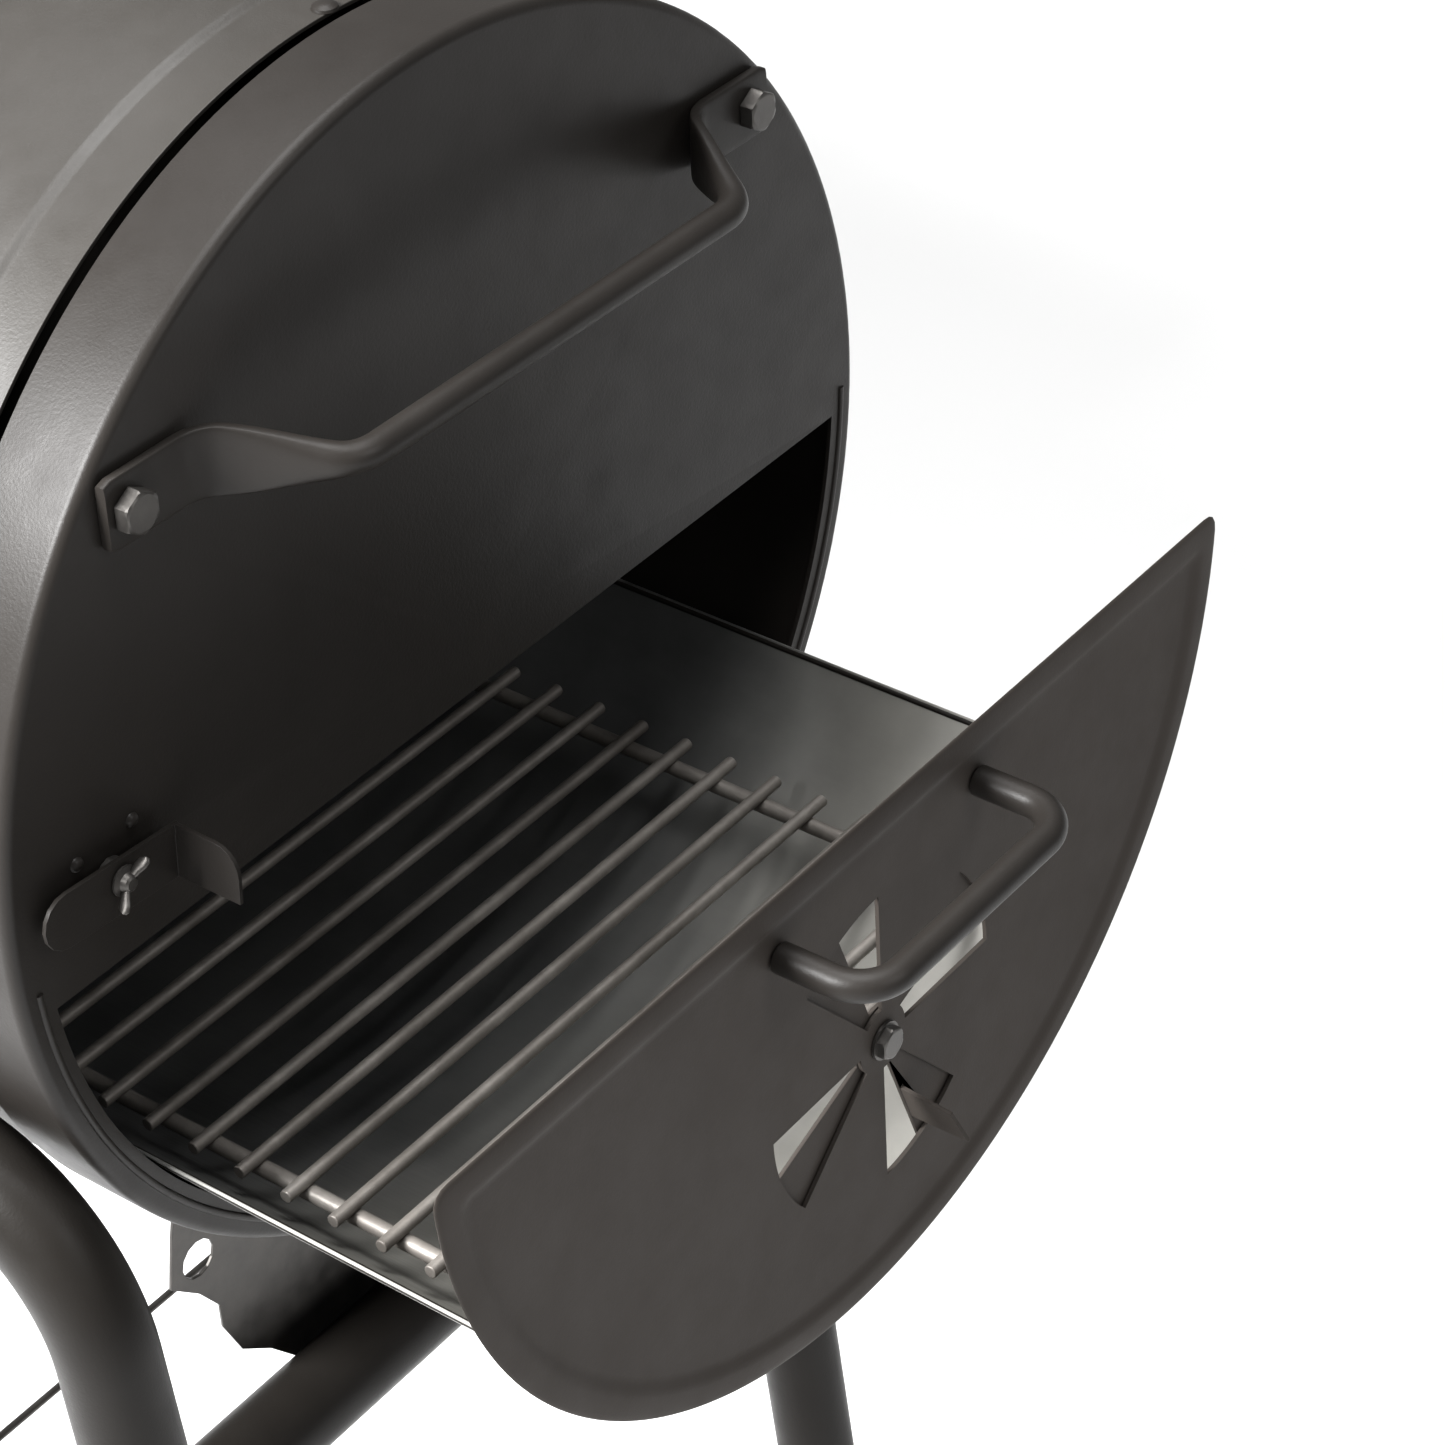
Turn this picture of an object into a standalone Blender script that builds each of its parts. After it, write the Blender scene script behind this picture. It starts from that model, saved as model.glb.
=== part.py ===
"""Offset smoker: a barrel cook chamber with a smaller firebox barrel beside it.

The design frame has X along both barrels, with X = 0 at the firebox's outer end face,
Y towards the rear and Z up from the ground. The last step moves the finished model so
that the middle of its base is the origin. Sizes are in metres.
"""

import math

import bmesh
import bpy
from mathutils import Matrix, Vector

# Sheet metal and clearances
GAP = 0.0004
SHEET = 0.0015
TRAY_SHEET = 0.0012
RUNNING_FIT = 0.0001
DRILL_FIT = 0.0003
WELD_STEP = 0.0003

# Firebox barrel
FIREBOX_AXIS_Z = 0.640
FIREBOX_RADIUS = 0.215
FIREBOX_LENGTH = 0.430
CAP_DEPTH = 0.035
CAP_EDGE_ROUND = 0.004
LID_SEAM = 0.0045
LID_BAND = 0.021
LID_STEP = 0.0015

# Cook chamber barrel
CHAMBER_RADIUS = 0.225
CHAMBER_LENGTH = 0.700
CHAMBER_RISE = 0.185
PORT_RADIUS = 0.080
PORT_RISE = 0.095

# The barrels are faceted in steps counted from +Y towards +Z
DRUM_STEPS = 64
SHELL_FRONT_STEP = 31
LID_FRONT_STEP = 32
LID_REAR_STEP = 7

# Ash drawer
OPENING_RADIUS = FIREBOX_RADIUS - 0.0136
OPENING_TOP = -0.0202
DRAWER_OUT = 0.1538
DRAWER_RADIUS = FIREBOX_RADIUS - 0.0055
DRAWER_TOP = -0.0084
DRAWER_CORNER = 0.006
DRAWER_RIM = 0.0018
DRAWER_RIM_OUTER = 0.008
DRAWER_RIM_INNER = 0.014
TRAY_RADIUS = FIREBOX_RADIUS - 0.0145
TRAY_LENGTH = 0.395
TRAY_WALL_TOP = -0.105
FITTINGS_Y = 0.009
PULL_HALF_WIDTH = 0.0545
PULL_Z = -0.033
PULL_REACH = 0.036
PULL_DIAMETER = 0.0108
PULL_BEND = 0.014

# Pinwheel damper
DAMPER_Z = -0.1055
DAMPER_SLOT_RADIUS = 0.0605
DAMPER_HUB_RADIUS = 0.0125
DAMPER_SLOT_ANGLE = 41.0
DAMPER_SLOT_START = 1.0
DAMPER_DISC_RADIUS = DAMPER_SLOT_RADIUS + 0.005
DAMPER_SHIFT = -21.5
DAMPER_TAB_INNER = DAMPER_SLOT_RADIUS - 0.0275
DAMPER_TAB_OUTER = DAMPER_SLOT_RADIUS - 0.009
DAMPER_TAB_TAPER = 0.0035
DAMPER_TAB_REACH = 0.023
DAMPER_BOLT_RADIUS = 0.003
DAMPER_BOLT_FLATS = 0.011
DAMPER_BOLT_HEAD = 0.0042
DAMPER_NUT_FLATS = 0.010
DAMPER_NUT_THICK = 0.0045

# Fire grate in the drawer
GRATE_ROD = 0.0048
GRATE_PITCH = 0.02045
GRATE_RODS = 18
GRATE_FRONT = -0.0306
GRATE_SIDES = (-0.1395, 0.1300)
GRATE_LEVEL = -0.1320
GRATE_BAR = 0.006
GRATE_OVERHANG = 0.010
GRATE_WELD = 0.0008
GRATE_LEG_INSET = 0.040

# Carry handle on the end face
HANDLE_Y = 0.0037
HANDLE_Z = 0.130
HANDLE_TILT = 1.0
HANDLE_TIP = 0.159
HANDLE_BOLT = 0.150
HANDLE_PAD_INNER = 0.119
HANDLE_BAR_HALF = 0.093
HANDLE_REACH = 0.042
HANDLE_DIAMETER = 0.0102
HANDLE_PAD_THICK = 0.004
HANDLE_PAD_TALL = 0.024
BOLT_RADIUS = 0.004
BOLT_FLATS = 0.013
BOLT_HEAD = 0.0053

# Drawer latch
LATCH_Y = -0.172
LATCH_Z = 0.0135
LATCH_LEFT = 0.033
LATCH_RIGHT = 0.025
LATCH_TALL = 0.0195
LATCH_DROP = 0.002
LATCH_TAB = 0.027
LATCH_STAND = SHEET + DRAWER_RIM + 3 * GAP
LATCH_TILT = 4.4
LATCH_SCREW_RADIUS = 0.0025
LATCH_SCREW_FLATS = 0.008
LATCH_SCREW_HEAD = 0.0035
LATCH_SCREW_LONG = 0.012
LATCH_SPACER_RADIUS = 0.006

# Frame of bent tube
TUBE = 0.034
TUBE_WALL = 0.0015
TUBE_BEND = 0.066
RAIL_Y = 0.214
LEG_LEAN = 0.1155
FRONT_LEG_X = 0.0129
REAR_LEG_X = -0.083
CHIMNEY_LEG_X = -1.085
FOOT_HEIGHT = 0.016
LOWER_TUBE = 0.025
STRUT_X = -0.062
STRUT_Z = 0.299
FAR_STRUT_X = -1.000
SADDLE_INSET = 0.090
SADDLE_THICK = 0.003
RACK_WIRE = 0.004
RACK_PITCH = 0.125
RACK_FIRST = -0.158
RACK_SINK = 0.001
RACK_OVERRUN = 0.006

# Wheels and axle
WHEEL_RADIUS = 0.090
WHEEL_WIDTH = 0.040
AXLE_RADIUS = 0.006
WHEEL_HUB_CLEAR = 0.004

# Lid handles, hinges, chimney, thermometer
LID_HANDLE_HALF = 0.070
LID_HANDLE_REACH = 0.045
LID_HANDLE_STEP = 29
HINGE_STAND = 0.009
HINGE_PIN_RADIUS = 0.0025
HINGE_KNUCKLE = 0.0055
HINGE_KNUCKLE_LONG = 0.018
HINGE_LEAF_LONG = 0.030
HINGE_BEND = 0.012
FACET_ALLOWANCE = 0.0002
CHIMNEY_RADIUS = 0.038
CHIMNEY_STUB = 0.070
CHIMNEY_BEND = 0.060
CHIMNEY_TOP = 1.235
CHIMNEY_RISE = 0.060
CHIMNEY_FLANGE = 0.018
CHIMNEY_FLANGE_THICK = 0.003
COVER_THICK = 0.002
COVER_LUG = 0.008
COVER_PIN_RADIUS = 0.003
COVER_PIN_DOWN = 0.020
THERMO_RADIUS = 0.038
THERMO_STEM = 0.003
THERMO_STEP = 27
COOK_GRATE_LEVEL = -0.040
COOK_GRATE_RODS = 12
COOK_GRATE_PITCH = (CHAMBER_LENGTH - 0.073) / (2 * COOK_GRATE_RODS - 2)
COOK_GRATE_OVERHANG = 0.060
COOK_BAR_OVERRUN = 0.006
COOK_GRATE_APART = 0.008

COLOURS = {
    "powder_coat": ((0.055, 0.050, 0.046), 0.2, 0.48),
    "drawer_coat": ((0.075, 0.068, 0.062), 0.2, 0.55),
    "dark_zinc": ((0.070, 0.066, 0.062), 0.8, 0.40),
    "tray_steel": ((0.140, 0.140, 0.135), 0.7, 0.42),
    "worn_steel": ((0.220, 0.200, 0.180), 0.9, 0.38),
    "rubber": ((0.020, 0.020, 0.020), 0.0, 0.80),
    "wheel_plastic": ((0.030, 0.030, 0.030), 0.0, 0.50),
    "dial_steel": ((0.550, 0.540, 0.520), 1.0, 0.30),
}


# ---------------------------------------------------------------- helpers

def material(name):
    """The named finish, made on first use."""
    if name in bpy.data.materials:
        return bpy.data.materials[name]
    colour, metallic, roughness = COLOURS[name]
    finish = bpy.data.materials.new(name)
    finish.use_nodes = True
    shader = finish.node_tree.nodes["Principled BSDF"]
    shader.inputs["Base Color"].default_value = (*colour, 1.0)
    shader.inputs["Metallic"].default_value = metallic
    shader.inputs["Roughness"].default_value = roughness
    finish.diffuse_color = (*colour, 1.0)
    return finish


def solid(name, bm, finish, pivot=(0.0, 0.0, 0.0)):
    """Turn a closed bmesh in the design frame into a named object with its origin at pivot."""
    bmesh.ops.remove_doubles(bm, verts=bm.verts, dist=1e-7)
    bmesh.ops.recalc_face_normals(bm, faces=bm.faces)
    bmesh.ops.translate(bm, vec=-Vector(pivot), verts=bm.verts)
    mesh = bpy.data.meshes.new(name)
    bm.to_mesh(mesh)
    bm.free()
    mesh.materials.append(material(finish))
    mesh.shade_smooth()
    mesh.set_sharp_from_angle(angle=math.radians(35))
    obj = bpy.data.objects.new(name, mesh)
    bpy.context.collection.objects.link(obj)
    obj.location = pivot
    return obj


def combine(target, bm, operation="DIFFERENCE"):
    """Cut a closed bmesh from the target, or add it, with an exact Boolean."""
    tool = solid(f"{target.name}_tool_{len(target.modifiers)}", bm, "dark_zinc")
    tool.hide_render = True
    tool.display_type = "WIRE"
    boolean = target.modifiers.new("combine", "BOOLEAN")
    boolean.operation = operation
    boolean.solver = "EXACT"
    boolean.object = tool


def loft(bm, rings):
    """Skin rings of equal count and close both ends."""
    skins = [[bm.verts.new(point) for point in ring] for ring in rings]
    for one, two in zip(skins, skins[1:]):
        for index in range(len(one)):
            after = (index + 1) % len(one)
            bm.faces.new((one[index], one[after], two[after], two[index]))
    bm.faces.new(skins[0])
    bm.faces.new(skins[-1])


def revolve(bm, profile, frame, start=0, stop=DRUM_STEPS, steps=DRUM_STEPS):
    """Turn a closed outline of (along, radius) points round the frame's X axis."""
    full = stop - start == steps
    columns = []
    for step in range(start, stop if full else stop + 1):
        angle = 2 * math.pi * step / steps
        y, z = math.cos(angle), math.sin(angle)
        columns.append([bm.verts.new(frame @ Vector((a, r * y, r * z))) for a, r in profile])
    pairs = zip(columns, columns[1:] + columns[:1]) if full else zip(columns, columns[1:])
    for one, two in pairs:
        for index in range(len(profile)):
            after = (index + 1) % len(profile)
            corners = (one[index], one[after], two[after], two[index])
            if profile[index][1] > 0 or profile[after][1] > 0:
                bm.faces.new(corners)
    if not full:
        bm.faces.new(columns[0])
        bm.faces.new(columns[-1])


def prism(bm, outline, low, high, place):
    """Raise an outline of (u, v) points from low to high; place(w, u, v) gives the point."""
    loft(bm, [[place(w, u, v) for u, v in outline] for w in (low, high)])


def along_x(w, u, v):
    return Vector((w, u, v))


def arc(centre, radius, first, last, steps):
    """Points of an arc in degrees, with both ends."""
    points = []
    for step in range(steps + 1):
        angle = math.radians(first + (last - first) * step / steps)
        points.append((centre[0] + radius * math.cos(angle), centre[1] + radius * math.sin(angle)))
    return points


def bent_path(corners, radius, steps=6):
    """A path through corner points with each corner bent to the radius."""
    points = [corners[0]]
    for before, corner, after in zip(corners, corners[1:], corners[2:]):
        into = (corner - before).normalized()
        out = (after - corner).normalized()
        turn = into.angle(out)
        axis = into.cross(out).normalized()
        start = corner - into * radius * math.tan(turn / 2)
        centre = start + axis.cross(into) * radius
        for step in range(steps + 1):
            swing = Matrix.Rotation(turn * step / steps, 3, axis)
            points.append(centre + swing @ (start - centre))
    points.append(corners[-1])
    return points


def circle(radius, sides=12):
    return [(radius * math.cos(2 * math.pi * k / sides), radius * math.sin(2 * math.pi * k / sides))
            for k in range(sides)]


def path_rings(path, normal, sections):
    """Rings square to a flat path; normal is the direction square to the path's plane."""
    rings = []
    for index, point in enumerate(path):
        before = path[max(index - 1, 0)]
        after = path[min(index + 1, len(path) - 1)]
        side = (after - before).normalized().cross(normal)
        rings.append([point + side * u + normal * v for u, v in sections[index]])
    return rings


def rod(bm, path, normal, radius, sides=12):
    """A solid round bar along a flat path."""
    loft(bm, path_rings(path, normal, [circle(radius, sides)] * len(path)))


def tube(bm, path, normal, radius, wall, sides=12):
    """A hollow round tube with open ends along a flat path."""
    skins = []
    for size in (radius, radius - wall):
        rings = path_rings(path, normal, [circle(size, sides)] * len(path))
        skins.append([[bm.verts.new(point) for point in ring] for ring in rings])
    for rings in skins:
        for one, two in zip(rings, rings[1:]):
            for index in range(sides):
                after = (index + 1) % sides
                bm.faces.new((one[index], one[after], two[after], two[index]))
    for end in (0, -1):
        outer, inner = skins[0][end], skins[1][end]
        for index in range(sides):
            after = (index + 1) % sides
            bm.faces.new((outer[index], outer[after], inner[after], inner[index]))


def straight(start, stop):
    return [Vector(start), Vector(stop)]


def facing(position, direction):
    """A frame at position whose X axis points along direction."""
    turn = Vector((1, 0, 0)).rotation_difference(Vector(direction))
    return Matrix.Translation(Vector(position)) @ turn.to_matrix().to_4x4()


def hexagon(flats):
    """A hexagon as twelve points: six corners and six middles."""
    points = []
    for k in range(12):
        angle = math.pi * k / 6
        reach = flats / math.sqrt(3) if k % 2 == 0 else flats / 2
        points.append((reach * math.cos(angle), reach * math.sin(angle)))
    return points


def hex_bolt(name, frame, radius, flats, head, length, finish="dark_zinc"):
    """A bolt whose head stands on the frame's origin and whose shank runs back along -X."""
    rings = []
    for along, outline in ((-length, circle(radius)), (0.0, circle(radius)),
                           (0.0, hexagon(flats)), (head, hexagon(flats))):
        rings.append([frame @ Vector((along, u, v)) for u, v in outline])
    bm = bmesh.new()
    loft(bm, rings)
    return solid(name, bm, finish)


def drill(target, position, direction, radius, depth):
    """A round hole through the target, centred on position."""
    frame = facing(position, direction)
    rings = [[frame @ Vector((along, u, v)) for u, v in circle(radius)] for along in (-depth, depth)]
    bm = bmesh.new()
    loft(bm, rings)
    combine(target, bm)


def drum_frame(axis_z, x=0.0):
    return Matrix.Translation((x, 0.0, axis_z))


def on_drum(axis_z, radius, step):
    """Place and outward direction of a point on a barrel at a facet step."""
    angle = 2 * math.pi * step / DRUM_STEPS
    outward = Vector((0.0, math.cos(angle), math.sin(angle)))
    return Vector((0.0, 0.0, axis_z)) + outward * radius, outward


# ---------------------------------------------------------------- barrels

CHAMBER_AXIS_Z = FIREBOX_AXIS_Z + CHAMBER_RISE
CHAMBER_NEAR_X = -FIREBOX_LENGTH - GAP
CHAMBER_FAR_X = CHAMBER_NEAR_X - CHAMBER_LENGTH
PORT_Z = FIREBOX_AXIS_Z + PORT_RISE


def end_cap(name, face_x, outward, axis_z, radius):
    """A pressed dish: a flat end face with a rounded edge and a flange that points inwards."""
    edge = CAP_EDGE_ROUND
    outer = [(-CAP_DEPTH, radius), (-edge, radius)]
    outer += [(-edge + edge * math.sin(t), radius - edge + edge * math.cos(t))
              for t in (math.pi / 4, math.pi / 2)]
    inner = [(-SHEET, radius - edge), (-edge, radius - SHEET), (-CAP_DEPTH, radius - SHEET)]
    profile = outer + [(0.0, 0.0), (-SHEET, 0.0)] + inner
    placed = [(a * outward, r) for a, r in profile]
    bm = bmesh.new()
    revolve(bm, placed, drum_frame(axis_z, face_x))
    return solid(name, bm, "powder_coat")


def shell(name, x_high, length, axis_z, radius):
    """The fixed lower part of a barrel, which slides inside the flanges of its two caps."""
    outer = radius - SHEET - GAP
    inset = CAP_EDGE_ROUND + GAP
    low, high = x_high - length + inset, x_high - inset
    profile = [(low, outer), (high, outer), (high, outer - SHEET), (low, outer - SHEET)]
    bm = bmesh.new()
    revolve(bm, profile, drum_frame(axis_z), SHELL_FRONT_STEP, LID_REAR_STEP + DRUM_STEPS)
    return solid(name, bm, "powder_coat")


def lid(name, x_high, length, axis_z, radius, pivot):
    """The hinged upper part, with a plain band at each end and a raised middle."""
    low = x_high - length + CAP_DEPTH + LID_SEAM
    high = x_high - CAP_DEPTH - LID_SEAM
    slope = 0.004
    raised = radius + LID_STEP
    outer = [(low, radius), (low + LID_BAND, radius), (low + LID_BAND + slope, raised),
             (high - LID_BAND - slope, raised), (high - LID_BAND, radius), (high, radius)]
    inner = [(a, r - SHEET) for a, r in reversed(outer)]
    bm = bmesh.new()
    revolve(bm, outer + inner, drum_frame(axis_z), LID_REAR_STEP, LID_FRONT_STEP)
    return solid(name, bm, "powder_coat", pivot)


def hinge_pivot(axis_z, radius):
    place, _ = on_drum(axis_z, radius + HINGE_STAND, LID_REAR_STEP)
    return place


def hinge(barrel, label, x_middle, axis_z, radius, pivot):
    """A lid hinge: a fixed leaf with the pin, and a leaf on the lid, side by side on the pin."""
    half_gap = GAP / 2
    for part, way, seat in (("fixed_leaf", -1, radius - SHEET - GAP), ("lid_leaf", 1, radius + LID_STEP)):
        near = x_middle + way * half_gap
        far = x_middle + way * (half_gap + HINGE_KNUCKLE_LONG)
        low, high = min(near, far), max(near, far)
        bore = HINGE_PIN_RADIUS + RUNNING_FIT
        ring = [(low, bore), (low, HINGE_KNUCKLE), (high, HINGE_KNUCKLE), (high, bore)]
        bm = bmesh.new()
        revolve(bm, ring, Matrix.Translation((0.0, pivot.y, pivot.z)), 0, 12, 12)
        leaf = solid(f"{barrel}_{label}_{part}", bm, "dark_zinc", pivot if way > 0 else (0, 0, 0))
        combine(leaf, leaf_plate(low, high, axis_z, seat, radius, way), "UNION")
    pin_low = x_middle - HINGE_KNUCKLE_LONG - 2 * GAP
    pin_high = x_middle + HINGE_KNUCKLE_LONG + 2 * GAP
    head = HINGE_PIN_RADIUS + 0.0015
    profile = [(pin_low - 0.002, 0.0), (pin_low - 0.002, head), (pin_low, head),
               (pin_low, HINGE_PIN_RADIUS), (pin_high, HINGE_PIN_RADIUS), (pin_high, head),
               (pin_high + 0.002, head), (pin_high + 0.002, 0.0)]
    bm = bmesh.new()
    revolve(bm, profile, Matrix.Translation((0.0, pivot.y, pivot.z)), 0, 12, 12)
    solid(f"{barrel}_{label}_pin", bm, "dark_zinc")


def leaf_plate(low, high, axis_z, seat, radius, way):
    """The flat of a hinge leaf: from the knuckle it follows the barrel away from the seam."""
    angle = 2 * math.pi * LID_REAR_STEP / DRUM_STEPS
    outward = Vector((0.0, math.cos(angle), math.sin(angle)))
    onward = Vector((0.0, -math.sin(angle), math.cos(angle))) * way
    pivot = Vector((0.0, 0.0, axis_z)) + outward * (radius + HINGE_STAND)
    under = seat + FACET_ALLOWANCE + GAP
    clear = HINGE_PIN_RADIUS + RUNNING_FIT + 0.0008
    start_out = pivot + outward * (HINGE_KNUCKLE * 0.55) + onward * clear
    start_in = pivot - outward * (HINGE_KNUCKLE * 0.6) + onward * clear
    centre = Vector((0.0, 0.0, axis_z))
    points = [start_out]
    for reach, rise in ((HINGE_BEND, 0.004), (HINGE_LEAF_LONG, 0.0025),
                        (HINGE_LEAF_LONG, 0.0), (HINGE_BEND, 0.0)):
        turn = reach / under
        spoke = outward * math.cos(turn) + onward * math.sin(turn)
        points.append(centre + spoke * (under + rise))
    points.append(start_in)
    bm = bmesh.new()
    loft(bm, [[Vector((x, p.y, p.z)) for p in points] for x in (low, high)])
    return bm


def lid_handle(name, x_middle, axis_z, radius, pivot):
    """A bent bar whose two feet are welded to the front of the lid."""
    seat, outward = on_drum(axis_z, radius + LID_STEP + GAP, LID_HANDLE_STEP)
    top = seat + outward * LID_HANDLE_REACH
    ends = []
    for side in (-1, 1):
        x = x_middle + side * LID_HANDLE_HALF
        ends.append((Vector((x, seat.y, seat.z)), Vector((x, top.y, top.z))))
    corners = [ends[0][0], ends[0][1], ends[1][1], ends[1][0]]
    normal = Vector((1, 0, 0)).cross(outward).normalized()
    bm = bmesh.new()
    rod(bm, bent_path(corners, PULL_BEND, 4), normal, PULL_DIAMETER / 2)
    return solid(name, bm, "powder_coat", pivot)


def thermometer(pivot):
    """A dial thermometer whose stem passes through the chamber lid."""
    x = CHAMBER_NEAR_X - CHAMBER_LENGTH / 2
    seat, outward = on_drum(CHAMBER_AXIS_Z, CHAMBER_RADIUS + LID_STEP + GAP, THERMO_STEP)
    seat.x = x
    frame = facing(seat, outward)
    depth = 0.014
    profile = [(-0.045, 0.0), (-0.045, THERMO_STEM), (0.0, THERMO_STEM), (0.0, 0.012),
               (0.004, 0.014), (0.004, THERMO_RADIUS - 0.002), (depth, THERMO_RADIUS),
               (depth, THERMO_RADIUS - 0.003), (depth - 0.002, THERMO_RADIUS - 0.004),
               (depth - 0.002, 0.0)]
    bm = bmesh.new()
    revolve(bm, profile, frame, 0, 24, 24)
    solid("thermometer", bm, "dial_steel", pivot)
    drill(bpy.data.objects["chamber_lid"], seat, outward, THERMO_STEM + DRILL_FIT, 0.010)


def make_firebox():
    end_cap("firebox_end_cap", 0.0, 1, FIREBOX_AXIS_Z, FIREBOX_RADIUS)
    inner = end_cap("firebox_inner_cap", -FIREBOX_LENGTH, -1, FIREBOX_AXIS_Z, FIREBOX_RADIUS)
    drill_port(inner)
    shell("firebox_shell", 0.0, FIREBOX_LENGTH, FIREBOX_AXIS_Z, FIREBOX_RADIUS)
    pivot = hinge_pivot(FIREBOX_AXIS_Z, FIREBOX_RADIUS)
    lid("firebox_lid", 0.0, FIREBOX_LENGTH, FIREBOX_AXIS_Z, FIREBOX_RADIUS, pivot)
    middle = -FIREBOX_LENGTH / 2
    lid_handle("firebox_lid_handle", middle, FIREBOX_AXIS_Z, FIREBOX_RADIUS, pivot)
    for label, x in (("near_hinge", middle + 0.110), ("far_hinge", middle - 0.110)):
        hinge("firebox", label, x, FIREBOX_AXIS_Z, FIREBOX_RADIUS, pivot)


def cut_drawer_opening():
    """The half-round opening in the end face, cut after the small holes."""
    face = bpy.data.objects["firebox_end_cap"]
    combine(face, d_solid(OPENING_RADIUS, OPENING_TOP, -0.010, 0.010))


def make_chamber():
    near = end_cap("chamber_near_cap", CHAMBER_NEAR_X, 1, CHAMBER_AXIS_Z, CHAMBER_RADIUS)
    drill_port(near)
    far = end_cap("chamber_far_cap", CHAMBER_FAR_X, -1, CHAMBER_AXIS_Z, CHAMBER_RADIUS)
    chimney_z = CHAMBER_AXIS_Z + CHIMNEY_RISE
    drill_wide(far, (CHAMBER_FAR_X, 0.0, chimney_z), CHIMNEY_RADIUS - TUBE_WALL)
    shell("chamber_shell", CHAMBER_NEAR_X, CHAMBER_LENGTH, CHAMBER_AXIS_Z, CHAMBER_RADIUS)
    pivot = hinge_pivot(CHAMBER_AXIS_Z, CHAMBER_RADIUS)
    lid("chamber_lid", CHAMBER_NEAR_X, CHAMBER_LENGTH, CHAMBER_AXIS_Z, CHAMBER_RADIUS, pivot)
    middle = CHAMBER_NEAR_X - CHAMBER_LENGTH / 2
    lid_handle("chamber_lid_handle", middle, CHAMBER_AXIS_Z, CHAMBER_RADIUS, pivot)
    for label, x in (("near_hinge", middle + 0.200), ("far_hinge", middle - 0.200)):
        hinge("chamber", label, x, CHAMBER_AXIS_Z, CHAMBER_RADIUS, pivot)
    thermometer(pivot)


def drill_port(cap):
    """The smoke port between the firebox and the chamber."""
    drill_wide(cap, (CHAMBER_NEAR_X, 0.0, PORT_Z), PORT_RADIUS)


def drill_wide(target, position, radius, sides=32):
    bm = bmesh.new()
    rings = [[Vector(position) + Vector((along, u, v)) for u, v in circle(radius, sides)]
             for along in (-0.010, 0.010)]
    loft(bm, rings)
    combine(target, bm)


def d_outline(radius, top, corner=0.0, steps=48):
    """A disc cut off above by a straight line, about the firebox axis."""
    reach = math.degrees(math.asin(-top / radius))
    points = arc((0.0, FIREBOX_AXIS_Z), radius, 180 + reach, 360 - reach, steps)
    if corner:
        left, right = points[0], points[-1]
        points[0] = (left[0] + corner * 0.15, left[1] - corner)
        points[-1] = (right[0] - corner * 0.15, right[1] - corner)
        top_z = FIREBOX_AXIS_Z + top
        points += [(right[0] - corner * 0.3, top_z - corner * 0.3), (right[0] - corner, top_z)]
        points += [(left[0] + corner, top_z), (left[0] + corner * 0.3, top_z - corner * 0.3)]
    return points


def d_solid(radius, top, low, high):
    bm = bmesh.new()
    prism(bm, d_outline(radius, top), low, high, along_x)
    return bm


# ---------------------------------------------------------------- ash drawer

PLATE_OUT = GAP + SHEET + DRAWER_OUT
PLATE_BACK = PLATE_OUT - SHEET


def damper_slots(radius, shift, width, low, high):
    """Four sector cutters about the damper's axis."""
    centre = (FITTINGS_Y, FIREBOX_AXIS_Z + DAMPER_Z)
    solids = []
    for quarter in range(4):
        first = 90.0 * quarter + shift
        outline = arc(centre, radius, first, first + width, 5)
        outline += arc(centre, DAMPER_HUB_RADIUS, first + width, first, 2)
        bm = bmesh.new()
        prism(bm, outline, low, high, along_x)
        solids.append(bm)
    return solids


def drawer_ring(inset, x):
    """The drawer front's outline, moved in from its edge, as a ring at x."""
    outline = d_outline(DRAWER_RADIUS - inset, DRAWER_TOP - inset, DRAWER_CORNER)
    return [Vector((x, y, z)) for y, z in outline]


def drawer_front():
    """One sheet whose rim is pressed outwards all round, with slots for air."""
    back = ((DRAWER_RIM_INNER, PLATE_BACK), (DRAWER_RIM_OUTER, PLATE_BACK + DRAWER_RIM),
            (0.0, PLATE_BACK + DRAWER_RIM))
    rings = [drawer_ring(inset, x) for inset, x in back]
    rings += [drawer_ring(inset, x + SHEET) for inset, x in reversed(back)]
    bm = bmesh.new()
    loft(bm, rings)
    plate = solid("drawer_front", bm, "drawer_coat")
    for slot in damper_slots(DAMPER_SLOT_RADIUS, DAMPER_SLOT_START, DAMPER_SLOT_ANGLE,
                             PLATE_BACK - 0.005, PLATE_OUT + 0.005):
        combine(plate, slot)
    axis = (PLATE_OUT, FITTINGS_Y, FIREBOX_AXIS_Z + DAMPER_Z)
    drill(plate, axis, (1, 0, 0), DAMPER_BOLT_RADIUS + DRILL_FIT, 0.005)


def drawer_tray():
    """A trough with a closed rear end, open at the top and against the drawer's front."""
    high = PLATE_BACK - GAP
    low = high - TRAY_LENGTH
    tray = solid("drawer_tray", d_solid(TRAY_RADIUS, TRAY_WALL_TOP, low, high), "tray_steel")
    hollow = d_outline(TRAY_RADIUS - TRAY_SHEET, TRAY_WALL_TOP)
    above = FIREBOX_AXIS_Z
    hollow += [(hollow[-1][0], above), (hollow[0][0], above)]
    bm = bmesh.new()
    prism(bm, hollow, low + TRAY_SHEET, high + 0.010, along_x)
    combine(tray, bm)


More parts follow.
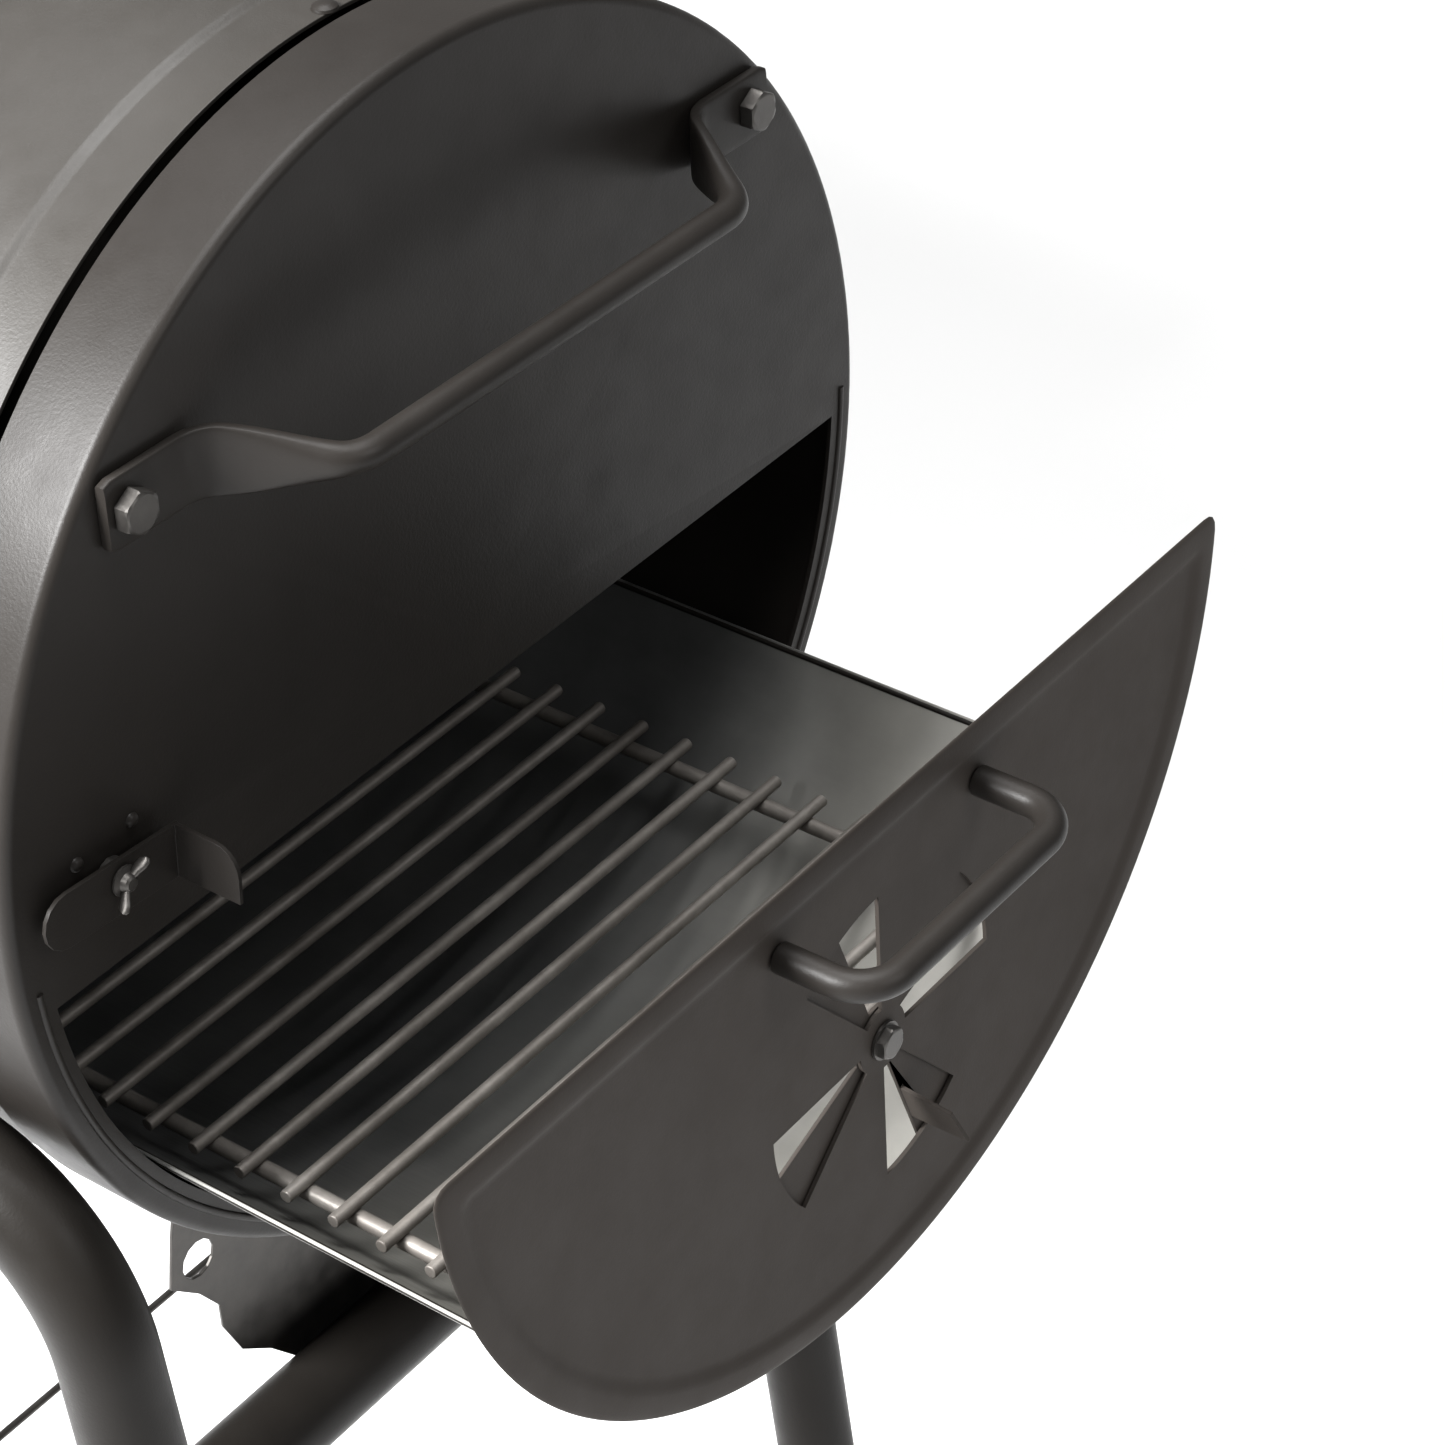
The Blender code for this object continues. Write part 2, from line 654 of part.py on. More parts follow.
def drawer_handle():
    z = FIREBOX_AXIS_Z + PULL_Z
    low, high = FITTINGS_Y - PULL_HALF_WIDTH, FITTINGS_Y + PULL_HALF_WIDTH
    foot, reach = PLATE_OUT + GAP, PLATE_OUT + PULL_REACH
    corners = [Vector(p) for p in ((foot, low, z), (reach, low, z), (reach, high, z), (foot, high, z))]
    bm = bmesh.new()
    rod(bm, bent_path(corners, PULL_BEND), Vector((0, 0, 1)), PULL_DIAMETER / 2, 16)
    solid("drawer_handle", bm, "powder_coat")


def damper_disc():
    """A disc behind the drawer's front with four slots of its own and a bent-out tab."""
    high = PLATE_BACK - GAP
    low = high - SHEET
    axis_z = FIREBOX_AXIS_Z + DAMPER_Z
    pivot = Vector((high, FITTINGS_Y, axis_z))
    bm = bmesh.new()
    outline = []
    for quarter in range(4):
        first = 90.0 * quarter + DAMPER_SLOT_START + DAMPER_SHIFT + DAMPER_SLOT_ANGLE
        last = first + 90.0 - DAMPER_SLOT_ANGLE
        outline += arc((FITTINGS_Y, axis_z), DAMPER_DISC_RADIUS, first, last, 6)
        outline += arc((FITTINGS_Y, axis_z), DAMPER_HUB_RADIUS + 0.0005, last, last + DAMPER_SLOT_ANGLE, 3)
    prism(bm, outline, low, high, along_x)
    disc = solid("damper_disc", bm, "drawer_coat", pivot)
    combine(disc, damper_tab(low, high), "UNION")
    drill(disc, pivot, (1, 0, 0), DAMPER_BOLT_RADIUS + RUNNING_FIT, 0.005)


def damper_tab(low, high):
    """A flat tab bent out through the lowest slot, for turning the damper."""
    edge = 270.0 + DAMPER_SLOT_START + DAMPER_SHIFT + DAMPER_SLOT_ANGLE
    spoke = Vector((0.0, math.cos(math.radians(edge)), math.sin(math.radians(edge))))
    across = Vector((0.0, -spoke.z, spoke.y))
    axis = Vector((0.0, FITTINGS_Y, FIREBOX_AXIS_Z + DAMPER_Z))
    tip = high + DAMPER_TAB_REACH
    corners = ((low, DAMPER_TAB_INNER), (low, DAMPER_TAB_OUTER), (tip, DAMPER_TAB_OUTER),
               (tip - DAMPER_TAB_TAPER, DAMPER_TAB_INNER + DAMPER_TAB_TAPER), (high, DAMPER_TAB_INNER))
    bm = bmesh.new()
    rings = []
    for shift in (WELD_STEP, WELD_STEP + SHEET):
        rings.append([axis + spoke * r + across * shift + Vector((x, 0, 0)) for x, r in corners])
    loft(bm, rings)
    return bm


def damper_bolt():
    """A hexagon bolt through the front and the disc, with its nut as a collar behind."""
    x = PLATE_OUT + GAP
    frame = facing((x, FITTINGS_Y, FIREBOX_AXIS_Z + DAMPER_Z), (1, 0, 0))
    back = -(SHEET + GAP + GAP + SHEET + GAP)
    rings = []
    nut, head = hexagon(DAMPER_NUT_FLATS), hexagon(DAMPER_BOLT_FLATS)
    shank = circle(DAMPER_BOLT_RADIUS)
    for along, outline in ((back - DAMPER_NUT_THICK, nut), (back, nut), (back, shank), (0.0, shank),
                           (0.0, head), (DAMPER_BOLT_HEAD, head)):
        rings.append([frame @ Vector((along, u, v)) for u, v in outline])
    bm = bmesh.new()
    loft(bm, rings)
    solid("damper_bolt", bm, "dark_zinc")


def grate(name, rods_at, bar_run, reach, rod_z, overhang, sides):
    """Round rods across two long bars, welded where they cross; bar_run and reach are (low, high)."""
    bars = bmesh.new()
    bar_z = rod_z - (GRATE_ROD + GRATE_BAR) / 2 + GRATE_WELD
    for y in (reach[0] + overhang, reach[1] - overhang):
        path = straight((bar_run[0], y, bar_z), (bar_run[1], y, bar_z))
        rod(bars, path, Vector((0, 0, 1)), GRATE_BAR / 2, sides)
    frame = solid(name, bars, "worn_steel")
    rods = bmesh.new()
    for x in rods_at:
        path = straight((x, reach[0], rod_z), (x, reach[1], rod_z))
        rod(rods, path, Vector((0, 0, 1)), GRATE_ROD / 2, sides)
    combine(frame, rods, "UNION")
    return frame


def grate_legs(bar_run, bar_z):
    """Four pegs under the long bars, which stand on the tray's curve."""
    bm = bmesh.new()
    radius = GRATE_BAR / 2 - WELD_STEP
    for y in (GRATE_SIDES[0] + GRATE_OVERHANG, GRATE_SIDES[1] - GRATE_OVERHANG):
        lowest = math.sqrt((TRAY_RADIUS - TRAY_SHEET - GAP) ** 2 - (abs(y) + radius) ** 2)
        for x in (bar_run[0] + GRATE_LEG_INSET, bar_run[1] - GRATE_LEG_INSET):
            path = straight((x, y, FIREBOX_AXIS_Z - lowest), (x, y, bar_z))
            rod(bm, path, Vector((1, 0, 0)), radius, 8)
    return bm


def fire_grate():
    rods_at = [PLATE_OUT + GRATE_FRONT - GRATE_PITCH * k for k in range(GRATE_RODS)]
    z = FIREBOX_AXIS_Z + GRATE_LEVEL
    bar_run = (rods_at[-1] - 0.010, rods_at[0] + 0.012)
    made = grate("fire_grate", rods_at, bar_run, GRATE_SIDES, z, GRATE_OVERHANG, 8)
    bar_z = z - (GRATE_ROD + GRATE_BAR) / 2 + GRATE_WELD
    combine(made, grate_legs(bar_run, bar_z), "UNION")


def drawer_runners():
    """Two bars under the tray that carry it as it slides."""
    for name, step in (("front_drawer_runner", 41), ("rear_drawer_runner", 54)):
        inner = TRAY_RADIUS + GAP
        outer = FIREBOX_RADIUS - 2 * SHEET - 2 * GAP
        low, high = -FIREBOX_LENGTH + 0.012, -0.006
        bm = bmesh.new()
        profile = [(low, outer), (high, outer), (high, inner), (low, inner)]
        revolve(bm, profile, drum_frame(FIREBOX_AXIS_Z), step, step + 1)
        solid(name, bm, "dark_zinc")


def make_drawer():
    drawer_front()
    drawer_tray()
    drawer_handle()
    damper_disc()
    damper_bolt()
    fire_grate()
    drawer_runners()


# ---------------------------------------------------------------- end face fittings

def pad_section(share):
    """From a round bar (share 0) to a flattened end (share 1), as twelve points."""
    points = []
    for u, v in circle(1.0):
        flat_u = math.copysign(abs(u) ** 0.35, u) * HANDLE_PAD_THICK / 2 if abs(u) > 1e-9 else 0.0
        flat_v = math.copysign(abs(v) ** 0.35, v) * HANDLE_PAD_TALL / 2 if abs(v) > 1e-9 else 0.0
        bar = HANDLE_DIAMETER / 2
        points.append((u * bar * (1 - share) + flat_u * share, v * bar * (1 - share) + flat_v * share))
    return points


def carry_handle():
    """A bar bent out from the end face, with both ends flattened and bolted down."""
    seat = GAP + HANDLE_PAD_THICK / 2
    stations = (HANDLE_TIP, HANDLE_PAD_INNER, HANDLE_BAR_HALF)
    depths = (seat, seat, HANDLE_REACH)
    half = [Vector((x, y, 0.0)) for y, x in zip(stations, depths)]
    corners = [Vector((p.x, -p.y, 0.0)) for p in half] + list(reversed(half))
    path = bent_path(corners, 0.012, 3)
    shares = []
    for point in path:
        share = (abs(point.y) - HANDLE_BAR_HALF) / (HANDLE_PAD_INNER - HANDLE_BAR_HALF)
        shares.append(min(max(share, 0.0), 1.0))
    rings = path_rings(path, Vector((0, 0, 1)), [pad_section(share) for share in shares])
    tilt = Matrix.Rotation(math.radians(-HANDLE_TILT), 4, "X")
    place = Matrix.Translation((0.0, HANDLE_Y, FIREBOX_AXIS_Z + HANDLE_Z)) @ tilt
    bm = bmesh.new()
    loft(bm, [[place @ point for point in ring] for ring in rings])
    handle = solid("carry_handle", bm, "powder_coat")
    face = bpy.data.objects["firebox_end_cap"]
    for name, side in (("front", -1), ("rear", 1)):
        top = place @ Vector((GAP + HANDLE_PAD_THICK + GAP, side * HANDLE_BOLT, 0.0))
        frame = facing(top, (1, 0, 0))
        hex_bolt(f"carry_handle_{name}_bolt", frame, BOLT_RADIUS, BOLT_FLATS, BOLT_HEAD, 0.012)
        for piece in (handle, face):
            drill(piece, top, (1, 0, 0), BOLT_RADIUS + DRILL_FIT, 0.012)


def drawer_latch():
    """A turning plate with a bent-out finger tab, which holds the closed drawer."""
    pivot = Vector((LATCH_STAND, LATCH_Y, FIREBOX_AXIS_Z + LATCH_Z))
    half = LATCH_TALL / 2
    tilt = Matrix.Translation(pivot) @ Matrix.Rotation(math.radians(-LATCH_TILT), 4, "X")
    outline = arc((-LATCH_LEFT + half, -LATCH_DROP), half, 90, 270, 8)
    outline += [(LATCH_RIGHT, -half - LATCH_DROP), (LATCH_RIGHT, half - LATCH_DROP)]
    bm = bmesh.new()
    prism(bm, outline, 0.0, SHEET, lambda w, u, v: tilt @ Vector((w, u, v)))
    latch = solid("drawer_latch", bm, "powder_coat", pivot)
    top, bottom = half - LATCH_DROP - WELD_STEP, -half - LATCH_DROP + WELD_STEP
    finger = [(WELD_STEP, bottom), (LATCH_TAB, bottom)]
    finger += arc((LATCH_TAB - half, top - half), half, 0, 90, 5)
    finger += [(WELD_STEP, top)]
    bm = bmesh.new()
    prism(bm, finger, LATCH_RIGHT - SHEET - WELD_STEP, LATCH_RIGHT - WELD_STEP,
          lambda w, u, v: tilt @ Vector((u, w, v)))
    combine(latch, bm, "UNION")
    head = pivot + Vector((SHEET + GAP, 0.0, 0.0))
    drill(latch, pivot, (1, 0, 0), LATCH_SCREW_RADIUS + RUNNING_FIT, 0.005)
    face = bpy.data.objects["firebox_end_cap"]
    drill(face, (0.0, pivot.y, pivot.z), (1, 0, 0), LATCH_SCREW_RADIUS + DRILL_FIT, 0.008)
    hex_bolt("latch_screw", facing(head, (1, 0, 0)), LATCH_SCREW_RADIUS, LATCH_SCREW_FLATS,
             LATCH_SCREW_HEAD, LATCH_SCREW_LONG)
    bore = LATCH_SCREW_RADIUS + RUNNING_FIT
    spacer = [(GAP, bore), (GAP, LATCH_SPACER_RADIUS), (LATCH_STAND - GAP, LATCH_SPACER_RADIUS),
              (LATCH_STAND - GAP, bore)]
    bm = bmesh.new()
    revolve(bm, spacer, Matrix.Translation((0.0, pivot.y, pivot.z)), 0, 12, 12)
    solid("latch_spacer", bm, "dark_zinc")


# ---------------------------------------------------------------- frame

RAIL_DROP = math.sqrt((FIREBOX_RADIUS + TUBE / 2 + GAP) ** 2 - RAIL_Y ** 2)
RAIL_Z = FIREBOX_AXIS_Z - RAIL_DROP
LOWER_Z = STRUT_Z - TUBE / 2 - LOWER_TUBE / 2 - GAP
AXLE_Z = WHEEL_RADIUS


def leg_x(bend_x, way, z):
    """Centre of a leg at height z; way is +1 at the firebox end and -1 at the chimney end."""
    return bend_x + way * LEG_LEAN * (RAIL_Z - TUBE_BEND - z)


def side_tube(name, y, firebox_leg_x):
    """One bent tube: a rail beside the barrels and a leg at each end."""
    foot = 2 * GAP + FOOT_HEIGHT
    stop = AXLE_Z - TUBE
    lean_top = LEG_LEAN * TUBE_BEND
    corners = [
        Vector((leg_x(firebox_leg_x, 1, foot), y, foot)),
        Vector((firebox_leg_x - lean_top, y, RAIL_Z)),
        Vector((CHIMNEY_LEG_X + lean_top, y, RAIL_Z)),
        Vector((leg_x(CHIMNEY_LEG_X, -1, stop), y, stop)),
    ]
    bm = bmesh.new()
    tube(bm, bent_path(corners, TUBE_BEND, 5), Vector((0, 1, 0)), TUBE / 2, TUBE_WALL)
    piece = solid(name, bm, "powder_coat")
    hole = (leg_x(CHIMNEY_LEG_X, -1, AXLE_Z), y, AXLE_Z)
    drill(piece, hole, (0, 1, 0), AXLE_RADIUS + DRILL_FIT, TUBE)
    return corners


def foot(name, corners):
    """A rubber foot, flat on the ground and square to the leaning leg above it."""
    end, above = corners[0], corners[1]
    up = (above - end).normalized()
    side = up.cross(Vector((0, 1, 0)))
    radius = TUBE / 2 + 0.003
    rings = [[Vector((end.x + u, end.y + v, z)) for u, v in circle(radius)] for z in (0.0, 0.006)]
    base = end - up * GAP
    rings.append([base - side * u + Vector((0, 1, 0)) * v for u, v in circle(TUBE / 2)])
    bm = bmesh.new()
    loft(bm, rings)
    solid(name, bm, "rubber")


def lower_rail(name, y, firebox_leg_x):
    """A straight tube between the two legs of one side."""
    ends = []
    for bend_x, way in ((firebox_leg_x, 1), (CHIMNEY_LEG_X, -1)):
        middle = leg_x(bend_x, way, LOWER_Z + LOWER_TUBE / 2)
        reach = TUBE / 2 * math.sqrt(1 + LEG_LEAN ** 2) + GAP
        ends.append(middle - way * reach)
    bm = bmesh.new()
    path = straight((ends[0], y, LOWER_Z), (ends[1], y, LOWER_Z))
    tube(bm, path, Vector((0, 1, 0)), LOWER_TUBE / 2, TUBE_WALL)
    solid(name, bm, "powder_coat")


def cross_strut(name, x, low_y, high_y):
    bm = bmesh.new()
    path = straight((x, low_y, STRUT_Z), (x, high_y, STRUT_Z))
    tube(bm, path, Vector((0, 0, 1)), TUBE / 2, TUBE_WALL)
    solid(name, bm, "powder_coat")


def mirrored(points):
    """An outline's left half, given top to bottom, with its mirror image added."""
    return points + [(-u, v) for u, v in reversed(points)]


def support_bracket():
    """A stamped plate that stands behind the strut and steadies the firebox from below."""
    high = STRUT_X - TUBE / 2 - GAP
    top = arc((0.0, FIREBOX_AXIS_Z), FIREBOX_RADIUS + GAP, 270, 245, 5)
    under = FIREBOX_AXIS_Z - FIREBOX_RADIUS
    drops = ((0.101, 0.021), (0.105, 0.043), (0.092, 0.055), (0.083, 0.068), (0.083, 0.079),
             (0.075, 0.097), (0.061, 0.108), (0.048, 0.123), (0.040, 0.137))
    left = [(-out, under - drop) for out, drop in drops]
    outline = mirrored(top[1:] + left)
    bm = bmesh.new()
    prism(bm, outline, high - SHEET, high, along_x)
    plate = solid("firebox_support_bracket", bm, "dark_zinc")
    for side in (-1, 1):
        drill(plate, (high, side * 0.090, under - 0.039), (1, 0, 0), 0.008, 0.008)


def saddle(name, x):
    """A stamped plate across both rails that carries the chamber in its hollow top."""
    seat = RAIL_Z + TUBE / 2 + GAP
    hollow = arc((0.0, CHAMBER_AXIS_Z), CHAMBER_RADIUS + GAP, 270, 230, 8)
    left = [(-0.200, seat + 0.045), (-0.232, seat + 0.012), (-0.232, seat), (-0.150, seat),
            (-0.110, seat - 0.020)]
    bm = bmesh.new()
    prism(bm, mirrored(hollow[1:] + left), x - SADDLE_THICK / 2, x + SADDLE_THICK / 2, along_x)
    solid(name, bm, "dark_zinc")


def wire_rack():
    """Cross wires on the lower rails, tied by three long wires."""
    z = LOWER_Z + LOWER_TUBE / 2 + GAP + RACK_WIRE / 2
    count = int((RACK_FIRST - FAR_STRUT_X - TUBE) / RACK_PITCH) + 1
    half = RAIL_Y
    last = RACK_FIRST - RACK_PITCH * (count - 1)
    long_wires = bmesh.new()
    for y in (-half + 0.004, -0.067, 0.067, half - 0.004):
        above = z + RACK_WIRE - RACK_SINK
        path = straight((last - RACK_OVERRUN, y, above), (RACK_FIRST + RACK_OVERRUN, y, above))
        rod(long_wires, path, Vector((0, 0, 1)), RACK_WIRE / 2, 6)
    rack = solid("wire_rack", long_wires, "dark_zinc")
    cross = bmesh.new()
    for k in range(count):
        x = RACK_FIRST - RACK_PITCH * k
        rod(cross, straight((x, -half, z), (x, half, z)), Vector((0, 0, 1)), RACK_WIRE / 2, 6)
    combine(rack, cross, "UNION")


def axle_and_wheels():
    x = leg_x(CHIMNEY_LEG_X, -1, AXLE_Z)
    inner = RAIL_Y + TUBE / 2 + WHEEL_HUB_CLEAR
    outer = inner + WHEEL_WIDTH + 2 * GAP
    head = AXLE_RADIUS + 0.005
    half = [(outer, AXLE_RADIUS), (outer, head), (outer + 0.006, head), (outer + 0.006, 0.0)]
    profile = [(-a, r) for a, r in reversed(half)] + half
    spin = facing((x, 0.0, AXLE_Z), (0, 1, 0))
    bm = bmesh.new()
    revolve(bm, profile, spin, 0, 16, 16)
    solid("axle", bm, "dark_zinc")
    w = WHEEL_WIDTH / 2
    r = WHEEL_RADIUS
    bore = AXLE_RADIUS + RUNNING_FIT
    side = [(w, bore), (w, 0.018), (0.006, 0.022), (0.006, r - 0.022), (w - 0.003, r - 0.018),
            (w - 0.001, r - 0.006), (w - 0.007, r)]
    wheel_profile = side + [(-a, radius) for a, radius in reversed(side)]
    for name, way in (("front_wheel", -1), ("rear_wheel", 1)):
        middle = way * (inner + GAP + w)
        bm = bmesh.new()
        revolve(bm, wheel_profile, facing((x, middle, AXLE_Z), (0, 1, 0)), 0, 24, 24)
        solid(name, bm, "wheel_plastic", (x, middle, AXLE_Z))


def make_frame():
    front = side_tube("front_side_tube", -RAIL_Y, FRONT_LEG_X)
    rear = side_tube("rear_side_tube", RAIL_Y, REAR_LEG_X)
    foot("front_foot", front)
    foot("rear_foot", rear)
    lower_rail("front_lower_rail", -RAIL_Y, FRONT_LEG_X)
    lower_rail("rear_lower_rail", RAIL_Y, REAR_LEG_X)
    overhang = RAIL_Y + LOWER_TUBE / 2
    cross_strut("firebox_cross_strut", STRUT_X, -overhang, RAIL_Y - TUBE / 2 - GAP)
    cross_strut("chimney_cross_strut", FAR_STRUT_X, -overhang, overhang)
    support_bracket()
    saddle("near_saddle", CHAMBER_NEAR_X - SADDLE_INSET)
    saddle("far_saddle", CHAMBER_FAR_X + SADDLE_INSET)
    wire_rack()
    axle_and_wheels()


# ---------------------------------------------------------------- chimney and cooking grates

def make_chimney():
    z = CHAMBER_AXIS_Z + CHIMNEY_RISE
    start = CHAMBER_FAR_X - GAP
    up_x = start - CHIMNEY_STUB
    corners = [Vector((start, 0, z)), Vector((up_x, 0, z)), Vector((up_x, 0, CHIMNEY_TOP))]
    bm = bmesh.new()
    tube(bm, bent_path(corners, CHIMNEY_BEND, 6), Vector((0, 1, 0)), CHIMNEY_RADIUS, TUBE_WALL, 24)
    solid("chimney_pipe", bm, "powder_coat")
    back = start - CHIMNEY_FLANGE_THICK
    bore, rim = CHIMNEY_RADIUS + GAP, CHIMNEY_RADIUS + CHIMNEY_FLANGE
    ring = [(start, bore), (start, rim), (back, rim), (back, bore)]
    bm = bmesh.new()
    revolve(bm, ring, Matrix.Translation((0, 0, z)), 0, 24, 24)
    solid("chimney_collar", bm, "powder_coat")
    chimney_cap(up_x)


def chimney_cap(x):
    """A flat cover that swings aside on a pin welded beside the chimney's mouth."""
    pin_y = CHIMNEY_RADIUS + GAP + COVER_LUG
    low = CHIMNEY_TOP + GAP
    outline = arc((x, 0.0), CHIMNEY_RADIUS + 0.002, 110, 430, 28)
    outline += arc((x, pin_y), COVER_LUG, 10, 170, 6)
    pivot = Vector((x, pin_y, low))
    bm = bmesh.new()
    prism(bm, outline, low, low + COVER_THICK, lambda w, u, v: Vector((u, v, w)))
    cap = solid("chimney_cap", bm, "powder_coat", pivot)
    drill(cap, pivot, (0, 0, 1), COVER_PIN_RADIUS + RUNNING_FIT, 0.008)
    head = low + COVER_THICK + GAP
    shoulder = CHIMNEY_TOP - GAP
    foot_z = CHIMNEY_TOP - COVER_PIN_DOWN
    profile = [(foot_z, 0.0), (foot_z, COVER_LUG), (shoulder, COVER_LUG), (shoulder, COVER_PIN_RADIUS),
               (head, COVER_PIN_RADIUS), (head, 2 * COVER_PIN_RADIUS),
               (head + 0.004, 2 * COVER_PIN_RADIUS), (head + 0.004, 0.0)]
    bm = bmesh.new()
    revolve(bm, profile, facing((x, pin_y, 0.0), (0, 0, 1)), 0, 12, 12)
    solid("chimney_cap_pin", bm, "dark_zinc")


def make_cooking_grates():
    inner = CHAMBER_RADIUS - 2 * SHEET - GAP
    half = math.sqrt((inner - GAP) ** 2 - (COOK_GRATE_LEVEL - GRATE_ROD / 2) ** 2)
    z = CHAMBER_AXIS_Z + COOK_GRATE_LEVEL
    span = COOK_GRATE_PITCH * (COOK_GRATE_RODS - 1)
    middle = CHAMBER_NEAR_X - CHAMBER_LENGTH / 2
    for name, centre in (("near_cooking_grate", middle + span / 2 + COOK_GRATE_APART),
                         ("far_cooking_grate", middle - span / 2 - COOK_GRATE_APART)):
        rods_at = [centre + span / 2 - COOK_GRATE_PITCH * k for k in range(COOK_GRATE_RODS)]
        bar_run = (rods_at[-1] - COOK_BAR_OVERRUN, rods_at[0] + COOK_BAR_OVERRUN)
        grate(name, rods_at, bar_run, (-half, half), z, COOK_GRATE_OVERHANG, 6)


# ---------------------------------------------------------------- assembly

def stand_on_origin():
    """Move everything so that the middle of the model's base is the origin."""
    graph = bpy.context.evaluated_depsgraph_get()
    low, high = Vector((9, 9, 9)), Vector((-9, -9, -9))
    shown = [obj for obj in bpy.data.objects if not obj.hide_render]
    for obj in shown:
        mesh = obj.evaluated_get(graph).to_mesh()
        for vertex in mesh.vertices:
            point = obj.matrix_world @ vertex.co
            low = Vector(map(min, low, point))
            high = Vector(map(max, high, point))
    shift = Vector((-(low.x + high.x) / 2, -(low.y + high.y) / 2, -low.z))
    for obj in bpy.data.objects:
        obj.location += shift
    return shift


def main():
    for obj in list(bpy.data.objects):
        bpy.data.objects.remove(obj, do_unlink=True)
    make_firebox()
    make_chamber()
    make_drawer()
    carry_handle()
    drawer_latch()
    cut_drawer_opening()
    make_frame()
    make_chimney()
    make_cooking_grates()
    bpy.context.view_layer.update()
    shift = stand_on_origin()
    bpy.context.view_layer.update()
    print("design frame moved by", [round(value, 6) for value in shift])


main()
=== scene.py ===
# %% [markdown]
# # An offset smoker, rebuilt for looks on its engineering model
# A smoker like this one is two steel barrels on a bent-tube frame. The smaller barrel is
# the firebox: its round end has a half-round opening, and an ash drawer slides out of it
# with a fire grate inside. Every piece below rides on a body of the imported model, so the
# lids, the drawer, the damper and the wheels still move. This first cell loads that model and
# reads the box of any of its nodes. A visual piece must never grow past it.

# %% Load the frame
import math

import bmesh
import bpy
from mathutils import Matrix, Vector


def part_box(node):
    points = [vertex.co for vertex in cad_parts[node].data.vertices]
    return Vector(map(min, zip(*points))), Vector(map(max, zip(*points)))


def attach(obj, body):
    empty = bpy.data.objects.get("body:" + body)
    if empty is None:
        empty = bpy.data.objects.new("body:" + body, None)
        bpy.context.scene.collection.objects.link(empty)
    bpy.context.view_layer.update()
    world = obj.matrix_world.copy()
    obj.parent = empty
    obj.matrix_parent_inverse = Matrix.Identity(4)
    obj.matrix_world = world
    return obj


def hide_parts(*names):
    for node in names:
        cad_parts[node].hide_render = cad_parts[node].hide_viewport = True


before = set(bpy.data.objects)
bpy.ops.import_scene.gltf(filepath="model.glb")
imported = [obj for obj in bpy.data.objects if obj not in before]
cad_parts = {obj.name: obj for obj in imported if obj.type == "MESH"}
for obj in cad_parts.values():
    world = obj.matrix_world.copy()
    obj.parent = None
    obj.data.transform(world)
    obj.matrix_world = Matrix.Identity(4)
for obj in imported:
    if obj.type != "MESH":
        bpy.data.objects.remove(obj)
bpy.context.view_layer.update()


# %% [markdown]
# ## Places
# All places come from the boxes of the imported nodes. The firebox's outer end face is the
# handiest starting point: X grows out of that face, Y towards the hinges, and Z upwards.
# Distances are in metres, and most are measured from the middle of that face.

# %% Read the main places
MM = 0.001


def corners(node):
    """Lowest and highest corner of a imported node."""
    low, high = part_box(node)
    return Vector(low), Vector(high)


def middle_of(node):
    low, high = corners(node)
    return (low + high) / 2


def in_mm(*points):
    """Outline points given in millimetres, in metres."""
    return [tuple(value * MM for value in point) for point in points]


face_low, face_high = corners("firebox_end_cap")
FACE_X = face_high.x
AXIS_Z = (face_low.z + face_high.z) / 2
RADIUS = (face_high.z - face_low.z) / 2
INNER_X = corners("firebox_inner_cap")[0].x
near_low, near_high = corners("chamber_near_cap")
CHAMBER_X = near_high.x
CHAMBER_END_X = corners("chamber_far_cap")[0].x
CHAMBER_Z = (near_low.z + near_high.z) / 2
CHAMBER_RADIUS = (near_high.z - near_low.z) / 2
RIM_RISE = 1.8 * MM
PLATE_X = corners("drawer_front")[1].x - RIM_RISE
SHEET = 1.5 * MM
GAP = 0.4 * MM


def at(x, y, z):
    """A point measured from the middle of the firebox's end face."""
    return Vector((FACE_X + x, y, AXIS_Z + z))


print("end face at x", round(FACE_X, 4), "barrel axis at z", round(AXIS_Z, 4))


# %% [markdown]
# ## Camera, floor and light
# The camera looks down on the open drawer from the front right, with a long lens so that
# the barrel's circles stay nearly round. Its right, down and forward directions are
# written out and become the columns of its matrix. The light is a studio: a pale even
# surround with three large soft lamps, so that the dark coating shows long highlights.

# %% Camera
LENS = 103.88
CAMERA_PLACE = at(0.76231, -0.83133, 0.78745)
RIGHT = Vector((0.7994, 0.5997, -0.0375))
DOWN = Vector((0.3316, -0.4925, -0.8047))
FORWARD = Vector((-0.5010, 0.6308, -0.5925))
camera_data = bpy.data.cameras.new("camera")
camera_data.lens = LENS
camera_data.sensor_width = 36.0
camera_data.clip_end = 50.0
camera = bpy.data.objects.new("camera", camera_data)
bpy.context.collection.objects.link(camera)
turn = Matrix((RIGHT, -DOWN, -FORWARD)).transposed().to_4x4()
camera.matrix_world = Matrix.Translation(CAMERA_PLACE) @ turn
bpy.context.scene.camera = camera
print("camera stands", round((camera.location - at(0, 0, 0)).length, 3), "m from the end face")


# %% Floor and studio light
FLOOR_HALF = 9.0
FLOOR_TONE = 0.61
SURROUND = 0.34


